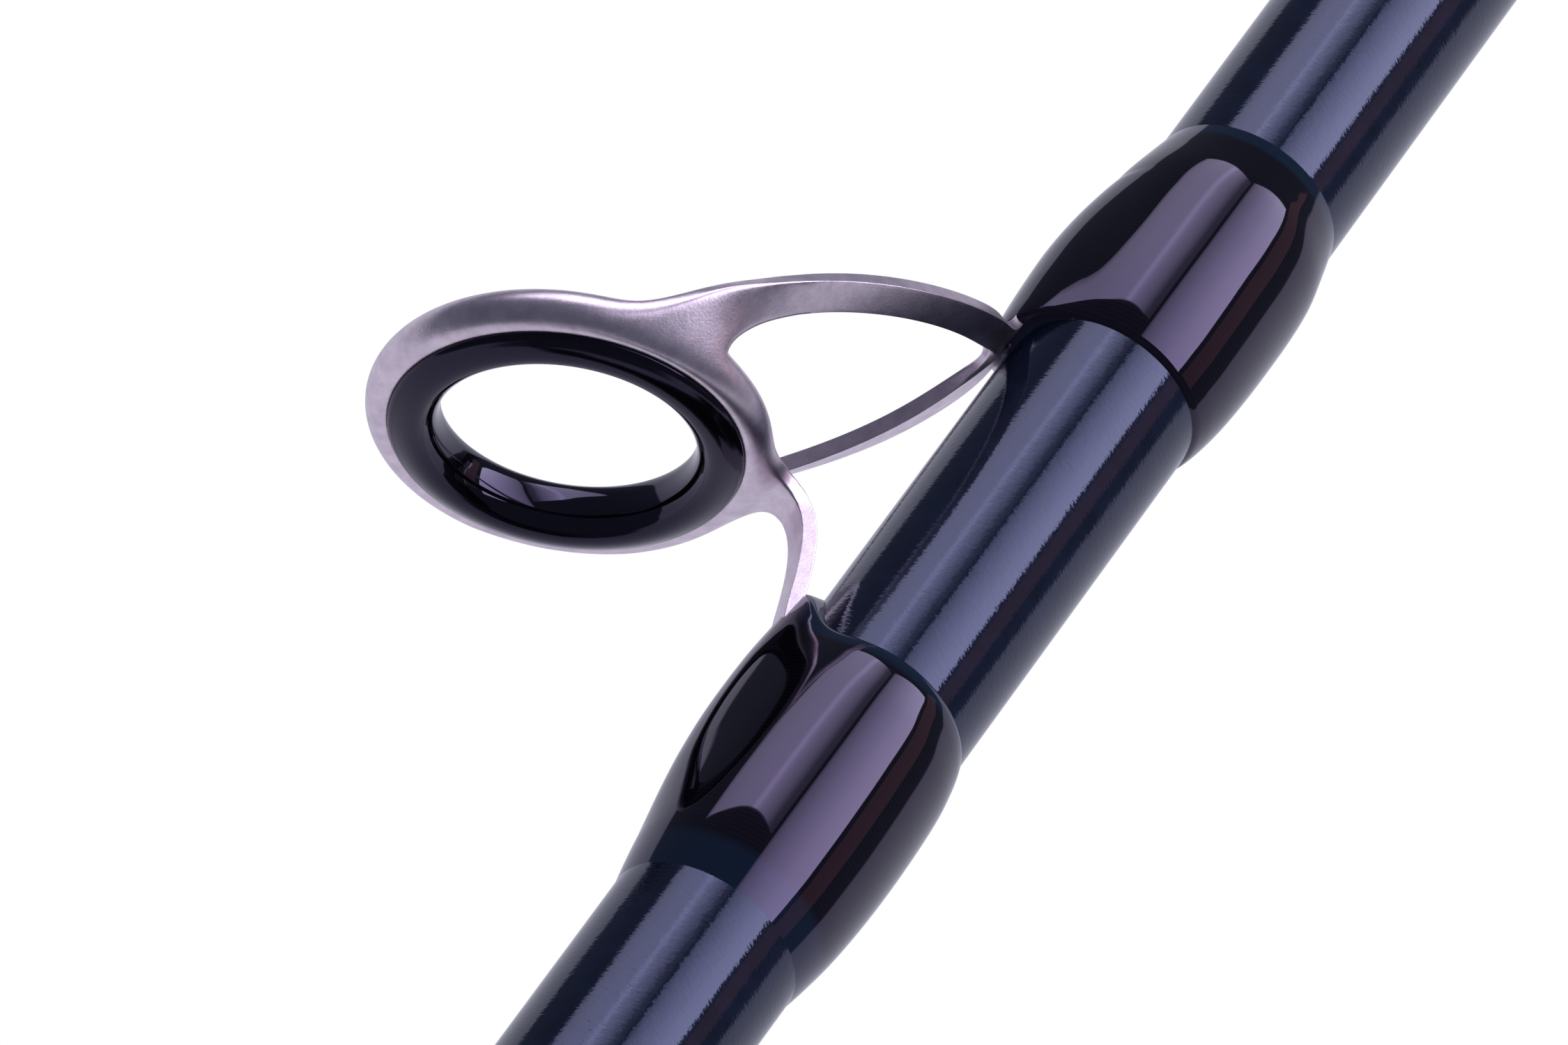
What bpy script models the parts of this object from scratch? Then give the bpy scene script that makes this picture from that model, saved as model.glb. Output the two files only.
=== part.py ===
"""Two-piece spinning rod, 1.68 m long: handle, reel seat, blank, line guides and tip-top.

The rod lies along +X, from the flat end of its butt cap (the origin) to the tip. +Z is up.
The guides and the bed of the reel seat face -Y, as on a rod that lies on a table.
Units are metres; MM turns millimetres into metres.
"""

import math

import bmesh
import bpy
from mathutils import Matrix, Vector

MM = 0.001
MERGE = 0.01 * MM
SHARP_ANGLE = math.radians(35)
ROUND_SIDES = 24
SMALL_SIDES = 20

# Clearance between pieces that touch on the real rod.
GAP = 0.3 * MM
FINE_GAP = 0.2 * MM

# Blank: a tapered tube in two sections that join at a put-over ferrule.
BUTT_BLANK_START = 4 * MM
BUTT_BLANK_END = 872 * MM
BUTT_RADIUS_AT_ORIGIN = 7.75 * MM
BUTT_TAPER = 0.00276
BUTT_WALL = 1.5 * MM
FERRULE_MOUTH = 815 * MM
FERRULE_BORE_CLEARANCE = 0.2 * MM
FERRULE_WALL = 0.95 * MM
TIP_SHOULDER = 885 * MM
TIP_BLANK_END = 1666 * MM
TIP_RADIUS_AT_SHOULDER = 5.5 * MM
TIP_RADIUS_AT_END = 1.1 * MM
TIP_WALL_SHARE = 0.35

# Handle, from the butt forward: where each piece ends along X.
CAP_LENGTH = 18 * MM
CAP_RADIUS = 15.5 * MM
CAP_FLAT_RADIUS = 12 * MM
REAR_GRIP_END = 284 * MM
REAR_CHECK_END = 288 * MM
SEAT_START = 288.3 * MM
SEAT_END = 412 * MM
MID_CHECK_END = 415.3 * MM
FORE_GRIP_END = 498 * MM
FORE_CHECK_END = 502.5 * MM
FORE_WRAP_END = 532 * MM
KEEPER_FOOT_START = 540 * MM
KEEPER_WRAP_START = 536.5 * MM
KEEPER_WRAP_END = 551 * MM

# Reel seat: a barrel with a thread at its rear and a flat bed for the reel's foot.
BARREL_RADIUS = 11 * MM
BARREL_BORE = 9.1 * MM
BARREL_FLANGE_RADIUS = 12.4 * MM
BED_DEPTH = 0.8 * MM
BED_START = 331 * MM
BED_END = 401.5 * MM
THREAD_START = 292 * MM
THREAD_END = 346 * MM
THREAD_DEPTH = 0.35 * MM
HOOD_CLEARANCE = 0.3 * MM
HOOD_WALL = 1.3 * MM
HOOD_POCKET_TOP = 16.2 * MM
HOOD_POCKET_HALF_WIDTH = 5.4 * MM
HOOD_LENGTH = 22 * MM
HOOD_POCKET_DEPTH = 13 * MM
FIXED_HOOD_MOUTH = 390 * MM
SLIDING_HOOD_MOUTH = 335 * MM
NUT_LENGTH = 13 * MM
NUT_RADIUS = 14 * MM
NUT_RING_LENGTH = 2.2 * MM
ARBOR_LENGTH = 22 * MM

# Line guides: a hoop on three legs, with two legs to a foot on the butt side and one to the tip side.
# Their dimensions are for ring size 20; others are scaled from it.
BASE_RING_SIZE = 20
RING_RISE = 16.4 * MM
RING_LEAN = math.radians(22.7)
HOOP_HALF_SEGMENTS = 12
HOOP_OUTLINE = (
    (9.5 * MM, -0.4 * MM),
    (10.5 * MM, -0.4 * MM),
    (11.1 * MM, -1.0 * MM),
    (11.1 * MM, -2.0 * MM),
    (10.5 * MM, -2.6 * MM),
    (9.5 * MM, -2.6 * MM),
)
HOOP_ROOT_ROW = 2
CERAMIC_OUTLINE = (
    (9.3 * MM, -2.7 * MM),
    (9.3 * MM, -0.2 * MM),
    (9.8 * MM, -0.2 * MM),
    (9.7 * MM, 0.3 * MM),
    (8.7 * MM, 0.8 * MM),
    (7.6 * MM, 0.3 * MM),
    (7.1 * MM, -0.8 * MM),
    (7.1 * MM, -2.0 * MM),
    (7.9 * MM, -2.9 * MM),
)
# Paths of the legs' middle lines: along the rod, height over the blank's surface, and sideways.
SIDE_LEG_PATH = (
    (-2.4 * MM, 14.7 * MM, 10.7 * MM),
    (-10.6 * MM, 11.9 * MM, 12.1 * MM),
    (-17.5 * MM, 2.6 * MM, 9.4 * MM),
    (-23.1 * MM, 0.8 * MM, 1.3 * MM),
)
FRONT_LEG_PATH = (
    (-5.75 * MM, 6.95 * MM, 0.0),
    (-7.2 * MM, 2.95 * MM, 0.0),
    (-2.9 * MM, 2.1 * MM, 0.0),
    (2.4 * MM, 0.6 * MM, 0.0),
)
SIDE_LEG_FIRST_SEGMENT = 4
# The direction across a side leg: at the hoop, as the middle control of a quadratic, and at the foot.
SIDE_LEG_ACROSS = (Vector((0.37, -0.89, 0.26)), Vector((-1.08, 0.3, 1.15)), Vector((0, 0, 1)))
LEG_STEPS = 6
SIDE_LEG_ROOT_HALF_WIDTH = 2.2 * MM
SIDE_LEG_HALF_WIDTH = 1.2 * MM
FRONT_LEG_ROOT_HALF_WIDTH = 2.1 * MM
FRONT_LEG_HALF_WIDTH = 1.5 * MM
LEG_HALF_THICKNESS = 0.5 * MM
LEG_FLARE_LENGTH = 0.3
FOOT_LENGTH = 15.5 * MM
FOOT_ENTRY_HALF_WIDTH = 2.4 * MM
FOOT_END_HALF_WIDTH = 0.9 * MM
FOOT_ENTRY_THICKNESS = 0.7 * MM
FOOT_END_THICKNESS = 0.3 * MM
# Thread wraps in epoxy: share of the length from the hoop side, rise over the foot, rise elsewhere.
REAR_WRAP_START = -24.7 * MM
REAR_WRAP_LENGTH = 18.4 * MM
REAR_WRAP_OUTLINE = (
    (0.0, 1.35 * MM, 0.4 * MM),
    (0.12, 1.65 * MM, 0.75 * MM),
    (0.38, 1.7 * MM, 0.95 * MM),
    (0.62, 1.4 * MM, 0.95 * MM),
    (0.84, 0.9 * MM, 0.8 * MM),
    (1.0, 0.4 * MM, 0.4 * MM),
)
FRONT_WRAP_START = 3.0 * MM
FRONT_WRAP_LENGTH = 18.8 * MM
FRONT_WRAP_OUTLINE = (
    (0.0, 1.4 * MM, 0.4 * MM),
    (0.12, 1.7 * MM, 0.65 * MM),
    (0.4, 1.7 * MM, 0.9 * MM),
    (0.65, 1.3 * MM, 0.85 * MM),
    (0.86, 0.75 * MM, 0.6 * MM),
    (1.0, 0.4 * MM, 0.4 * MM),
)
WRAP_LENGTH_POWER = 0.6
SECTION_POWER = 0.5
NARROWING = 0.5

# Ring size in millimetres and the place of the ring's centre along X.
BUTT_GUIDE = (20, 760 * MM)
TIP_GUIDES = ((16, 965 * MM), (12, 1135 * MM), (10, 1285 * MM), (8, 1415 * MM), (8, 1535 * MM))

# Tip-top: a tube over the blank's end with a small hoop on it.
TIP_TUBE_START = 1654 * MM
TIP_TUBE_END = 1671.4 * MM
TIP_TUBE_WALL = 0.5 * MM
TIP_RING_SIZE = 8
TIP_RING_X = 1673.5 * MM
TIP_RING_HEIGHT = 5.0 * MM
TIP_STRUT_RADIUS = 0.55 * MM

# Hook keeper: a wire eye on a short foot, ahead of the handle.
KEEPER_FOOT_LENGTH = 12 * MM
KEEPER_WIRE_RADIUS = 0.6 * MM
KEEPER_EYE_RADIUS = 2.6 * MM

# Name, colour, roughness and metallic value of each material.
FINISHES = {
    "blank_lacquer": ((0.012, 0.022, 0.055), 0.12, 0.0),
    "wrap_epoxy": ((0.006, 0.006, 0.009), 0.06, 0.0),
    "guide_steel": ((0.52, 0.49, 0.53), 0.32, 1.0),
    "guide_ceramic": ((0.008, 0.008, 0.01), 0.12, 0.0),
    "eva_foam": ((0.02, 0.02, 0.022), 0.85, 0.0),
    "seat_nylon": ((0.015, 0.015, 0.018), 0.4, 0.0),
    "hood_steel": ((0.5, 0.48, 0.52), 0.3, 1.0),
    "check_aluminium": ((0.42, 0.42, 0.46), 0.28, 1.0),
    "butt_rubber": ((0.015, 0.015, 0.015), 0.7, 0.0),
    "arbor_foam": ((0.45, 0.33, 0.2), 0.9, 0.0),
}


def butt_radius(x):
    """Outside radius of the butt section's blank."""
    return BUTT_RADIUS_AT_ORIGIN - BUTT_TAPER * x


def tip_radius(x):
    """Outside radius of the tip section's blank ahead of its ferrule."""
    share = (x - TIP_SHOULDER) / (TIP_BLANK_END - TIP_SHOULDER)
    return TIP_RADIUS_AT_SHOULDER + share * (TIP_RADIUS_AT_END - TIP_RADIUS_AT_SHOULDER)


def clear_scene():
    for old in list(bpy.data.objects):
        bpy.data.objects.remove(old, do_unlink=True)


def make_material(name):
    colour, roughness, metallic = FINISHES[name]
    material = bpy.data.materials.new(name)
    material.use_nodes = True
    shader = material.node_tree.nodes["Principled BSDF"]
    shader.inputs["Base Color"].default_value = (*colour, 1.0)
    shader.inputs["Roughness"].default_value = roughness
    shader.inputs["Metallic"].default_value = metallic
    return material


def make_empty(name, x, parent=None):
    """An empty on the rod's axis that carries one moving group."""
    empty = bpy.data.objects.new(name, None)
    bpy.context.collection.objects.link(empty)
    empty.location = (x, 0, 0)
    if parent:
        empty.parent = parent
        empty.location = (x - parent.location.x, 0, 0)
    return empty


def place(name, bm, finish, parent, location=(0, 0, 0), turn=0.0):
    """Turns bm into a smooth-shaded object; location is in world metres and turn is about Z."""
    bmesh.ops.recalc_face_normals(bm, faces=bm.faces)
    mesh = bpy.data.meshes.new(name)
    bm.to_mesh(mesh)
    bm.free()
    mesh.shade_smooth()
    mesh.set_sharp_from_angle(angle=SHARP_ANGLE)
    if finish not in bpy.data.materials:
        make_material(finish)
    mesh.materials.append(bpy.data.materials[finish])
    piece = bpy.data.objects.new(name, mesh)
    bpy.context.collection.objects.link(piece)
    piece.parent = parent
    bpy.context.view_layer.update()
    piece.matrix_world = Matrix.Translation(location) @ Matrix.Rotation(turn, 4, "Z")
    return piece


def turned(outline, sides=ROUND_SIDES):
    """A body turned about X from (x, radius) points; an outline that ends on the axis closes there."""
    bm = bmesh.new()
    verts = [bm.verts.new((x, radius, 0)) for x, radius in outline]
    pairs = list(zip(verts, verts[1:]))
    if outline[0][1] > 0:
        pairs.append((verts[-1], verts[0]))
    edges = [bm.edges.new(pair) for pair in pairs]
    bmesh.ops.spin(
        bm, geom=verts + edges, axis=(1, 0, 0), cent=(0, 0, 0), angle=math.tau, steps=sides, use_merge=True
    )
    bmesh.ops.remove_doubles(bm, verts=bm.verts, dist=MERGE)
    return bm


def tube(start, end, outer, inner, sides=ROUND_SIDES):
    """A turned sleeve whose outer and inner radii are functions of x."""
    return turned(((start, inner(start)), (start, outer(start)), (end, outer(end)), (end, inner(end))), sides)


def saddle_angles(round_radius, top, half_width, sides):
    """Angles from -Y, shared by all sections of a piece: fine round the raised side, even elsewhere."""
    corner = math.atan2(half_width, top)
    tangent = corner + math.acos(round_radius / math.hypot(half_width, top))
    rest = sides // 2 - 4
    angles = [0.0, corner / 2, corner, (corner + tangent) / 2]
    return angles + [tangent + (math.pi - tangent) * i / rest for i in range(rest + 1)]


def saddle_section(x, round_radius, top, half_width, angles):
    """A ring of points about X: the hull of a circle and, on its -Y side, a flat strip at height top."""
    corner = math.atan2(half_width, top)
    tangent = corner + math.acos(min(1.0, round_radius / math.hypot(half_width, top)))

    def radius_at(angle):
        if angle <= corner:
            return max(round_radius, top / math.cos(angle))
        if angle < tangent:
            return round_radius / math.cos(tangent - angle)
        return round_radius

    half = [(radius_at(angle), angle) for angle in angles]
    ring = half + [(radius, -angle) for radius, angle in reversed(half[1:-1])]
    return [Vector((x, -radius * math.cos(a), radius * math.sin(a))) for radius, a in ring]


def closed_loft(rings):
    """A sleeve: each ring of points is joined to the next, and the last to the first."""
    bm = bmesh.new()
    loops = [[bm.verts.new(point) for point in ring] for ring in rings]
    for low, high in zip(loops, loops[1:] + loops[:1]):
        for i in range(len(low)):
            following = (i + 1) % len(low)
            bm.faces.new((low[i], low[following], high[following], high[i]))
    return bm


def cut(piece, cutter):
    """Cuts cutter out of piece and removes the cutter."""
    modify_with(piece, cutter, "DIFFERENCE")


def weld(piece, other):
    """Joins other to piece as one body."""
    modify_with(piece, other, "UNION")


def modify_with(piece, other, operation):
    modifier = piece.modifiers.new(operation.title(), "BOOLEAN")
    modifier.operation = operation
    modifier.solver = "EXACT"
    modifier.object = other
    bpy.context.view_layer.update()
    evaluated = piece.evaluated_get(bpy.context.evaluated_depsgraph_get())
    mesh = bpy.data.meshes.new_from_object(evaluated)
    piece.modifiers.clear()
    piece.data = mesh
    bpy.data.objects.remove(other, do_unlink=True)


def box_body(low, high):
    """A box between two corners."""
    bm = bmesh.new()
    size = Vector(high) - Vector(low)
    middle = (Vector(high) + Vector(low)) / 2
    bmesh.ops.create_cube(bm, size=1, matrix=Matrix.Translation(middle) @ Matrix.Diagonal((*size, 1)))
    return bm


# ---------------------------------------------------------------- handle


def build_butt_cap(body):
    flat = CAP_FLAT_RADIUS
    lip = CAP_RADIUS - 0.5 * MM
    socket = butt_radius(BUTT_BLANK_START) + GAP
    outline = (
        (0, 0),
        (0, flat),
        (1.2 * MM, CAP_RADIUS - 1 * MM),
        (4 * MM, CAP_RADIUS),
        (CAP_LENGTH - 3 * MM, CAP_RADIUS),
        (CAP_LENGTH, lip),
        (CAP_LENGTH, socket),
        (BUTT_BLANK_START - GAP, socket),
        (BUTT_BLANK_START - GAP, 0),
    )
    place("butt_cap", turned(outline), "butt_rubber", body)


def build_butt_plug(body):
    bore = butt_radius(BUTT_BLANK_START) - BUTT_WALL
    start = BUTT_BLANK_START
    outline = ((start, 0), (start, bore - GAP), (start + 14 * MM, bore - 2 * GAP), (start + 14 * MM, 0))
    place("butt_plug", turned(outline, SMALL_SIDES), "arbor_foam", body)


def grip_outline(stations, end):
    """Outer stations (x, radius) closed by a bore that follows the blank."""
    start = stations[0][0]
    bore_rear = (start, butt_radius(start) + GAP)
    bore_front = (end, butt_radius(start) + GAP)
    return (bore_rear, *stations, bore_front)


def build_grips(body):
    start = CAP_LENGTH + GAP
    end = REAR_GRIP_END
    rear = (
        (start, 14.2 * MM),
        (start + 2 * MM, 15 * MM),
        (start + 60 * MM, 14.6 * MM),
        (start + 125 * MM, 12.6 * MM),
        (end - 60 * MM, 12.3 * MM),
        (end - 18 * MM, 13.1 * MM),
        (end - 2 * MM, 12.9 * MM),
        (end, 12.2 * MM),
    )
    place("rear_grip", turned(grip_outline(rear, end)), "eva_foam", body)
    start = MID_CHECK_END + GAP
    end = FORE_GRIP_END
    fore = (
        (start, 12.6 * MM),
        (start + 2 * MM, 13.3 * MM),
        (start + 22 * MM, 13.6 * MM),
        (start + 50 * MM, 12.4 * MM),
        (end - 8 * MM, 10.4 * MM),
        (end, 9.6 * MM),
    )
    place("fore_grip", turned(grip_outline(fore, end)), "eva_foam", body)


def build_checks(body):
    """Trim rings between the handle's pieces."""
    rings = (
        ("rear_check", REAR_GRIP_END + GAP, REAR_CHECK_END, 12.4 * MM, 12.0 * MM),
        ("mid_check", SEAT_END + GAP, MID_CHECK_END, 13.6 * MM, 13.2 * MM),
        ("fore_check", FORE_GRIP_END + GAP, FORE_CHECK_END, 9.4 * MM, 7.9 * MM),
    )
    for name, start, end, rear_radius, front_radius in rings:
        bore = butt_radius(start) + GAP
        edge = 0.8 * MM
        outline = (
            (start, bore),
            (start, rear_radius - edge / 2),
            (start + edge, rear_radius),
            (end - edge, front_radius),
            (end, front_radius - edge / 2),
            (end, bore),
        )
        place(name, turned(outline), "check_aluminium", body)


def build_reel_seat(body):
    low = BARREL_RADIUS - THREAD_DEPTH
    outline = (
        (SEAT_START, BARREL_BORE),
        (SEAT_START, BARREL_FLANGE_RADIUS),
        (THREAD_START - 1.5 * MM, BARREL_FLANGE_RADIUS),
        (THREAD_START - 1.5 * MM, low),
        (THREAD_START, low),
        (THREAD_START + 1 * MM, BARREL_RADIUS),
        (THREAD_END, BARREL_RADIUS),
        (SEAT_END, BARREL_RADIUS),
        (SEAT_END, BARREL_BORE),
    )
    seat = place("reel_seat", turned(outline), "seat_nylon", body)
    bed = -(BARREL_RADIUS - BED_DEPTH)
    margin = 2 * MM
    bed_cut = box_body(
        (BED_START, -BARREL_RADIUS - margin, -BARREL_RADIUS), (BED_END, bed, BARREL_RADIUS)
    )
    cut(seat, place("bed_cutter", bed_cut, "seat_nylon", body))


def build_arbors(body):
    """Foam bushes that fill the space between the blank and the seat's barrel."""
    room = SEAT_END - SEAT_START - 2 * GAP
    spacing = (room - ARBOR_LENGTH) / 2
    for index, name in enumerate(("seat_arbor_rear", "seat_arbor_mid", "seat_arbor_front")):
        start = SEAT_START + GAP + index * spacing
        inner = butt_radius(start) + FINE_GAP
        outline = (
            (start, inner),
            (start, BARREL_BORE - GAP),
            (start + ARBOR_LENGTH, BARREL_BORE - GAP),
            (start + ARBOR_LENGTH, inner),
        )
        place(name, turned(outline, SMALL_SIDES), "arbor_foam", body)


def hood_rings(mouth, facing):
    """Rings of a hood with its mouth at x = mouth; facing is +1 when the mouth faces the tip."""
    bore = BARREL_RADIUS + HOOD_CLEARANCE
    skin = bore + HOOD_WALL
    back = mouth - facing * HOOD_LENGTH
    pocket_end = mouth - facing * HOOD_POCKET_DEPTH
    top = HOOD_POCKET_TOP
    width = HOOD_POCKET_HALF_WIDTH
    angles = saddle_angles(bore, top, width, ROUND_SIDES)
    outer = (
        (mouth, skin, top + HOOD_WALL, width + HOOD_WALL / 2),
        (mouth - facing * 6 * MM, skin, top + HOOD_WALL, width + HOOD_WALL / 2),
        (pocket_end, skin, top + HOOD_WALL / 2, width),
        (back, skin, skin, width / 2),
    )
    inner = (
        (back, bore, bore, width / 2),
        (pocket_end, bore, bore, width / 2),
        (pocket_end + facing * 1 * MM, bore, top - 1.2 * MM, width - 1 * MM),
        (mouth - facing * 5 * MM, bore, top, width),
        (mouth, bore, top, width),
    )
    return [saddle_section(*section, angles) for section in outer + inner]


def build_hoods(body, hood_body):
    fixed = closed_loft(hood_rings(FIXED_HOOD_MOUTH, -1))
    place("fixed_hood", fixed, "hood_steel", body)
    sliding = closed_loft(hood_rings(SLIDING_HOOD_MOUTH, 1))
    place("sliding_hood", sliding, "hood_steel", hood_body)


def build_nut(nut_body):
    """The knurled locking nut behind the sliding hood, with a trim ring pressed on its front."""
    bore = BARREL_RADIUS + HOOD_CLEARANCE
    front = SLIDING_HOOD_MOUTH - HOOD_LENGTH - GAP
    ring_start = front - NUT_RING_LENGTH
    end = ring_start - GAP
    start = end - NUT_LENGTH
    chamfer = 1.2 * MM
    outline = (
        (start, bore),
        (start, NUT_RADIUS - chamfer),
        (start + chamfer, NUT_RADIUS),
        (end - chamfer, NUT_RADIUS),
        (end, NUT_RADIUS - chamfer),
        (end, bore),
    )
    place("locking_nut", turned(outline), "seat_nylon", nut_body)
    ring_radius = NUT_RADIUS - 0.9 * MM
    ring = tube(ring_start, front, lambda x: ring_radius, lambda x: bore)
    place("nut_ring", ring, "check_aluminium", nut_body)


# ---------------------------------------------------------------- blank


def build_blank(butt_body, tip_body):
    butt = tube(BUTT_BLANK_START, BUTT_BLANK_END, butt_radius, lambda x: butt_radius(x) - BUTT_WALL)
    place("butt_blank", butt, "blank_lacquer", butt_body)
    mouth = FERRULE_MOUTH
    socket_end = BUTT_BLANK_END + 2 * MM
    socket = butt_radius(mouth) + FERRULE_BORE_CLEARANCE
    socket_floor = butt_radius(socket_end) + FERRULE_BORE_CLEARANCE
    core = socket_floor - 1.2 * MM
    outline = (
        (mouth, socket),
        (mouth, socket + FERRULE_WALL),
        (mouth + 30 * MM, socket + FERRULE_WALL - 0.1 * MM),
        (TIP_SHOULDER, TIP_RADIUS_AT_SHOULDER),
        (TIP_BLANK_END, TIP_RADIUS_AT_END),
        (TIP_BLANK_END, TIP_RADIUS_AT_END * TIP_WALL_SHARE),
        (socket_end, core),
        (socket_end, socket_floor),
    )
    place("tip_blank", turned(outline), "blank_lacquer", tip_body)
    plain_wrap(
        "ferrule_wrap",
        mouth + 1 * MM,
        mouth + 26 * MM,
        lambda x: socket + FERRULE_WALL,
        0.5 * MM,
        tip_body,
    )


def plain_wrap(name, start, end, radius_at, rise, body):
    """A thread wrap with no foot under it."""
    bore = max(radius_at(start), radius_at(end)) + FINE_GAP
    edge = 2 * MM
    outline = (
        (start, bore),
        (start, bore + rise / 2),
        (start + edge, bore + rise),
        (end - edge, bore + rise),
        (end, bore + rise / 2),
        (end, bore),
    )
    place(name, turned(outline, SMALL_SIDES), "wrap_epoxy", body)


# ---------------------------------------------------------------- line guides


def bezier(points, share):
    """A point of a cubic curve and the direction along it."""
    a, b, c, d = points
    rest = 1 - share
    point = rest**3 * a + 3 * rest**2 * share * b + 3 * rest * share**2 * c + share**3 * d
    slope = rest**2 * (b - a) + 2 * rest * share * (c - b) + share**2 * (d - c)
    return point, slope.normalized()


class Guide:
    """Sizes of one line guide, scaled from ring size 20, in its own frame at the ring's place."""

    def __init__(self, name, size, x, radius_at):
        self.name = name
        self.x = x
        self.scale = size / BASE_RING_SIZE
        self.section = self.scale**SECTION_POWER
        self.stretch = self.scale**WRAP_LENGTH_POWER
        self.radius_at = lambda along: radius_at(x + along)
        self.rise = self.radius_at(0) + RING_RISE * self.scale
        self.out = Vector((math.sin(RING_LEAN), -math.cos(RING_LEAN), 0))
        self.normal = Vector((math.cos(RING_LEAN), math.sin(RING_LEAN), 0))
        self.centre = Vector((0, -self.rise, 0))

    def hoop_point(self, angle, radius, along):
        """A point of the hoop: angle is from the side nearest the blank, round towards +Z."""
        sideways = Vector((0, 0, math.sin(angle)))
        direction = sideways - math.cos(angle) * self.out
        return self.centre + self.scale * (radius * direction + along * self.normal)

    def path(self, points):
        """A leg's path, from offsets over the blank's surface to this guide's frame."""
        surface = self.radius_at(0)
        return [
            Vector((self.scale * x, -(surface + self.scale * height), self.scale * side))
            for x, height, side in points
        ]

    def foot_height(self, along, thickness):
        """Height over the axis of the middle of a foot that lies on the blank."""
        return self.radius_at(along) + FINE_GAP + thickness / 2


def strap(guide, path, across_at, root_width, width, steps, columns):
    """Cross-sections of a leg from its root on the hoop to its foot: rows of points, front face first."""
    sections = []
    for step in range(1, steps + 1):
        share = step / (steps + 1)
        point, along = bezier(path, share)
        across = across_at(share)
        across = (across - along * along.dot(across)).normalized()
        face = along.cross(across)
        flare = max(0.0, 1 - share / LEG_FLARE_LENGTH)
        half = guide.section * (width + (root_width - width) * flare**2)
        depth = guide.section * LEG_HALF_THICKNESS
        front = [point + across * half * column + face * depth for column in columns]
        back = [point + across * half * column - face * depth for column in reversed(columns)]
        sections.append(front + back)
    return sections


def foot_sections(guide, start, direction, entry_width, columns):
    """Cross-sections of a foot that lies on the blank, from its entry under the wrap to its end."""
    sections = []
    for share in (0.0, 0.2, 0.6, 1.0):
        x = start + direction * share * FOOT_LENGTH * guide.stretch
        half = guide.section * (entry_width + (FOOT_END_HALF_WIDTH - entry_width) * share)
        thickness = guide.section * (
            FOOT_ENTRY_THICKNESS + (FOOT_END_THICKNESS - FOOT_ENTRY_THICKNESS) * share
        )
        height = guide.foot_height(x, thickness)
        rows = [(-height + thickness / 2, columns), (-height - thickness / 2, list(reversed(columns)))]
        if direction > 0:
            rows = [(-height - thickness / 2, columns), (-height + thickness / 2, list(reversed(columns)))]
        sections.append([Vector((x, y, half * column)) for y, row in rows for column in row])
    return sections


def join_loops(bm, loops, open_from):
    """Faces between consecutive loops; from index open_from on, the side on the mirror plane is open."""
    for index, (low, high) in enumerate(zip(loops, loops[1:])):
        count = len(low)
        last = count - 1 if index >= open_from else count
        for i in range(last):
            following = (i + 1) % count
            bm.faces.new((low[i], low[following], high[following], high[i]))
    bm.faces.new(loops[-1])


def guide_frame(guide):
    """The stamped frame: half a hoop, one side leg and half the front leg, mirrored across Z."""
    bm = bmesh.new()
    rows = len(HOOP_OUTLINE)
    hoop = [
        [
            bm.verts.new(guide.hoop_point(math.pi * k / HOOP_HALF_SEGMENTS, radius, along))
            for radius, along in HOOP_OUTLINE
        ]
        for k in range(HOOP_HALF_SEGMENTS + 1)
    ]
    first = SIDE_LEG_FIRST_SEGMENT
    row = HOOP_ROOT_ROW
    open_faces = {(0, row), (first, row), (first + 1, row)}
    for k in range(HOOP_HALF_SEGMENTS):
        for p in range(rows):
            if (k, p) not in open_faces:
                q = (p + 1) % rows
                bm.faces.new((hoop[k][p], hoop[k][q], hoop[k + 1][q], hoop[k + 1][p]))

    def side_across(share):
        a, b, c = SIDE_LEG_ACROSS
        return (1 - share) ** 2 * a + 2 * share * (1 - share) * b + share**2 * c

    side_sections = strap(
        guide,
        guide.path(SIDE_LEG_PATH),
        side_across,
        SIDE_LEG_ROOT_HALF_WIDTH,
        SIDE_LEG_HALF_WIDTH,
        LEG_STEPS,
        (-1, 0, 1),
    )
    rear_entry = SIDE_LEG_PATH[-1][0] * guide.scale
    side_sections += foot_sections(guide, rear_entry, -1, FOOT_ENTRY_HALF_WIDTH, [0, 0.5, 1])
    root = [hoop[first + i][row] for i in range(3)] + [hoop[first + i][row + 1] for i in (2, 1, 0)]
    loops = [root] + [[bm.verts.new(point) for point in section] for section in side_sections]
    join_loops(bm, loops, open_from=LEG_STEPS + 1)

    front_sections = strap(
        guide,
        guide.path(FRONT_LEG_PATH),
        lambda share: Vector((0, 0, 1)),
        FRONT_LEG_ROOT_HALF_WIDTH,
        FRONT_LEG_HALF_WIDTH,
        LEG_STEPS,
        (0, 1),
    )
    front_entry = FRONT_LEG_PATH[-1][0] * guide.scale
    front_sections += foot_sections(guide, front_entry, 1, FRONT_LEG_HALF_WIDTH, [0, 1])
    root = [hoop[0][row], hoop[1][row], hoop[1][row + 1], hoop[0][row + 1]]
    loops = [root] + [[bm.verts.new(point) for point in section] for section in front_sections]
    join_loops(bm, loops, open_from=0)

    everything = bm.verts[:] + bm.edges[:] + bm.faces[:]
    bmesh.ops.mirror(bm, geom=everything, matrix=Matrix.Identity(4), merge_dist=MERGE, axis="Z")
    bmesh.ops.remove_doubles(bm, verts=bm.verts, dist=MERGE)
    return bm


def foot_pocket_top(guide, along, entry, length):
    """Height over the axis of a wrap's pocket above the foot at a place along the rod."""
    share = min(1.0, max(0.0, abs(along - entry) / length))
    thickness = guide.section * (
        FOOT_ENTRY_THICKNESS + (FOOT_END_THICKNESS - FOOT_ENTRY_THICKNESS) * share
    )
    return guide.radius_at(along) + 2 * FINE_GAP + thickness


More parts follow.
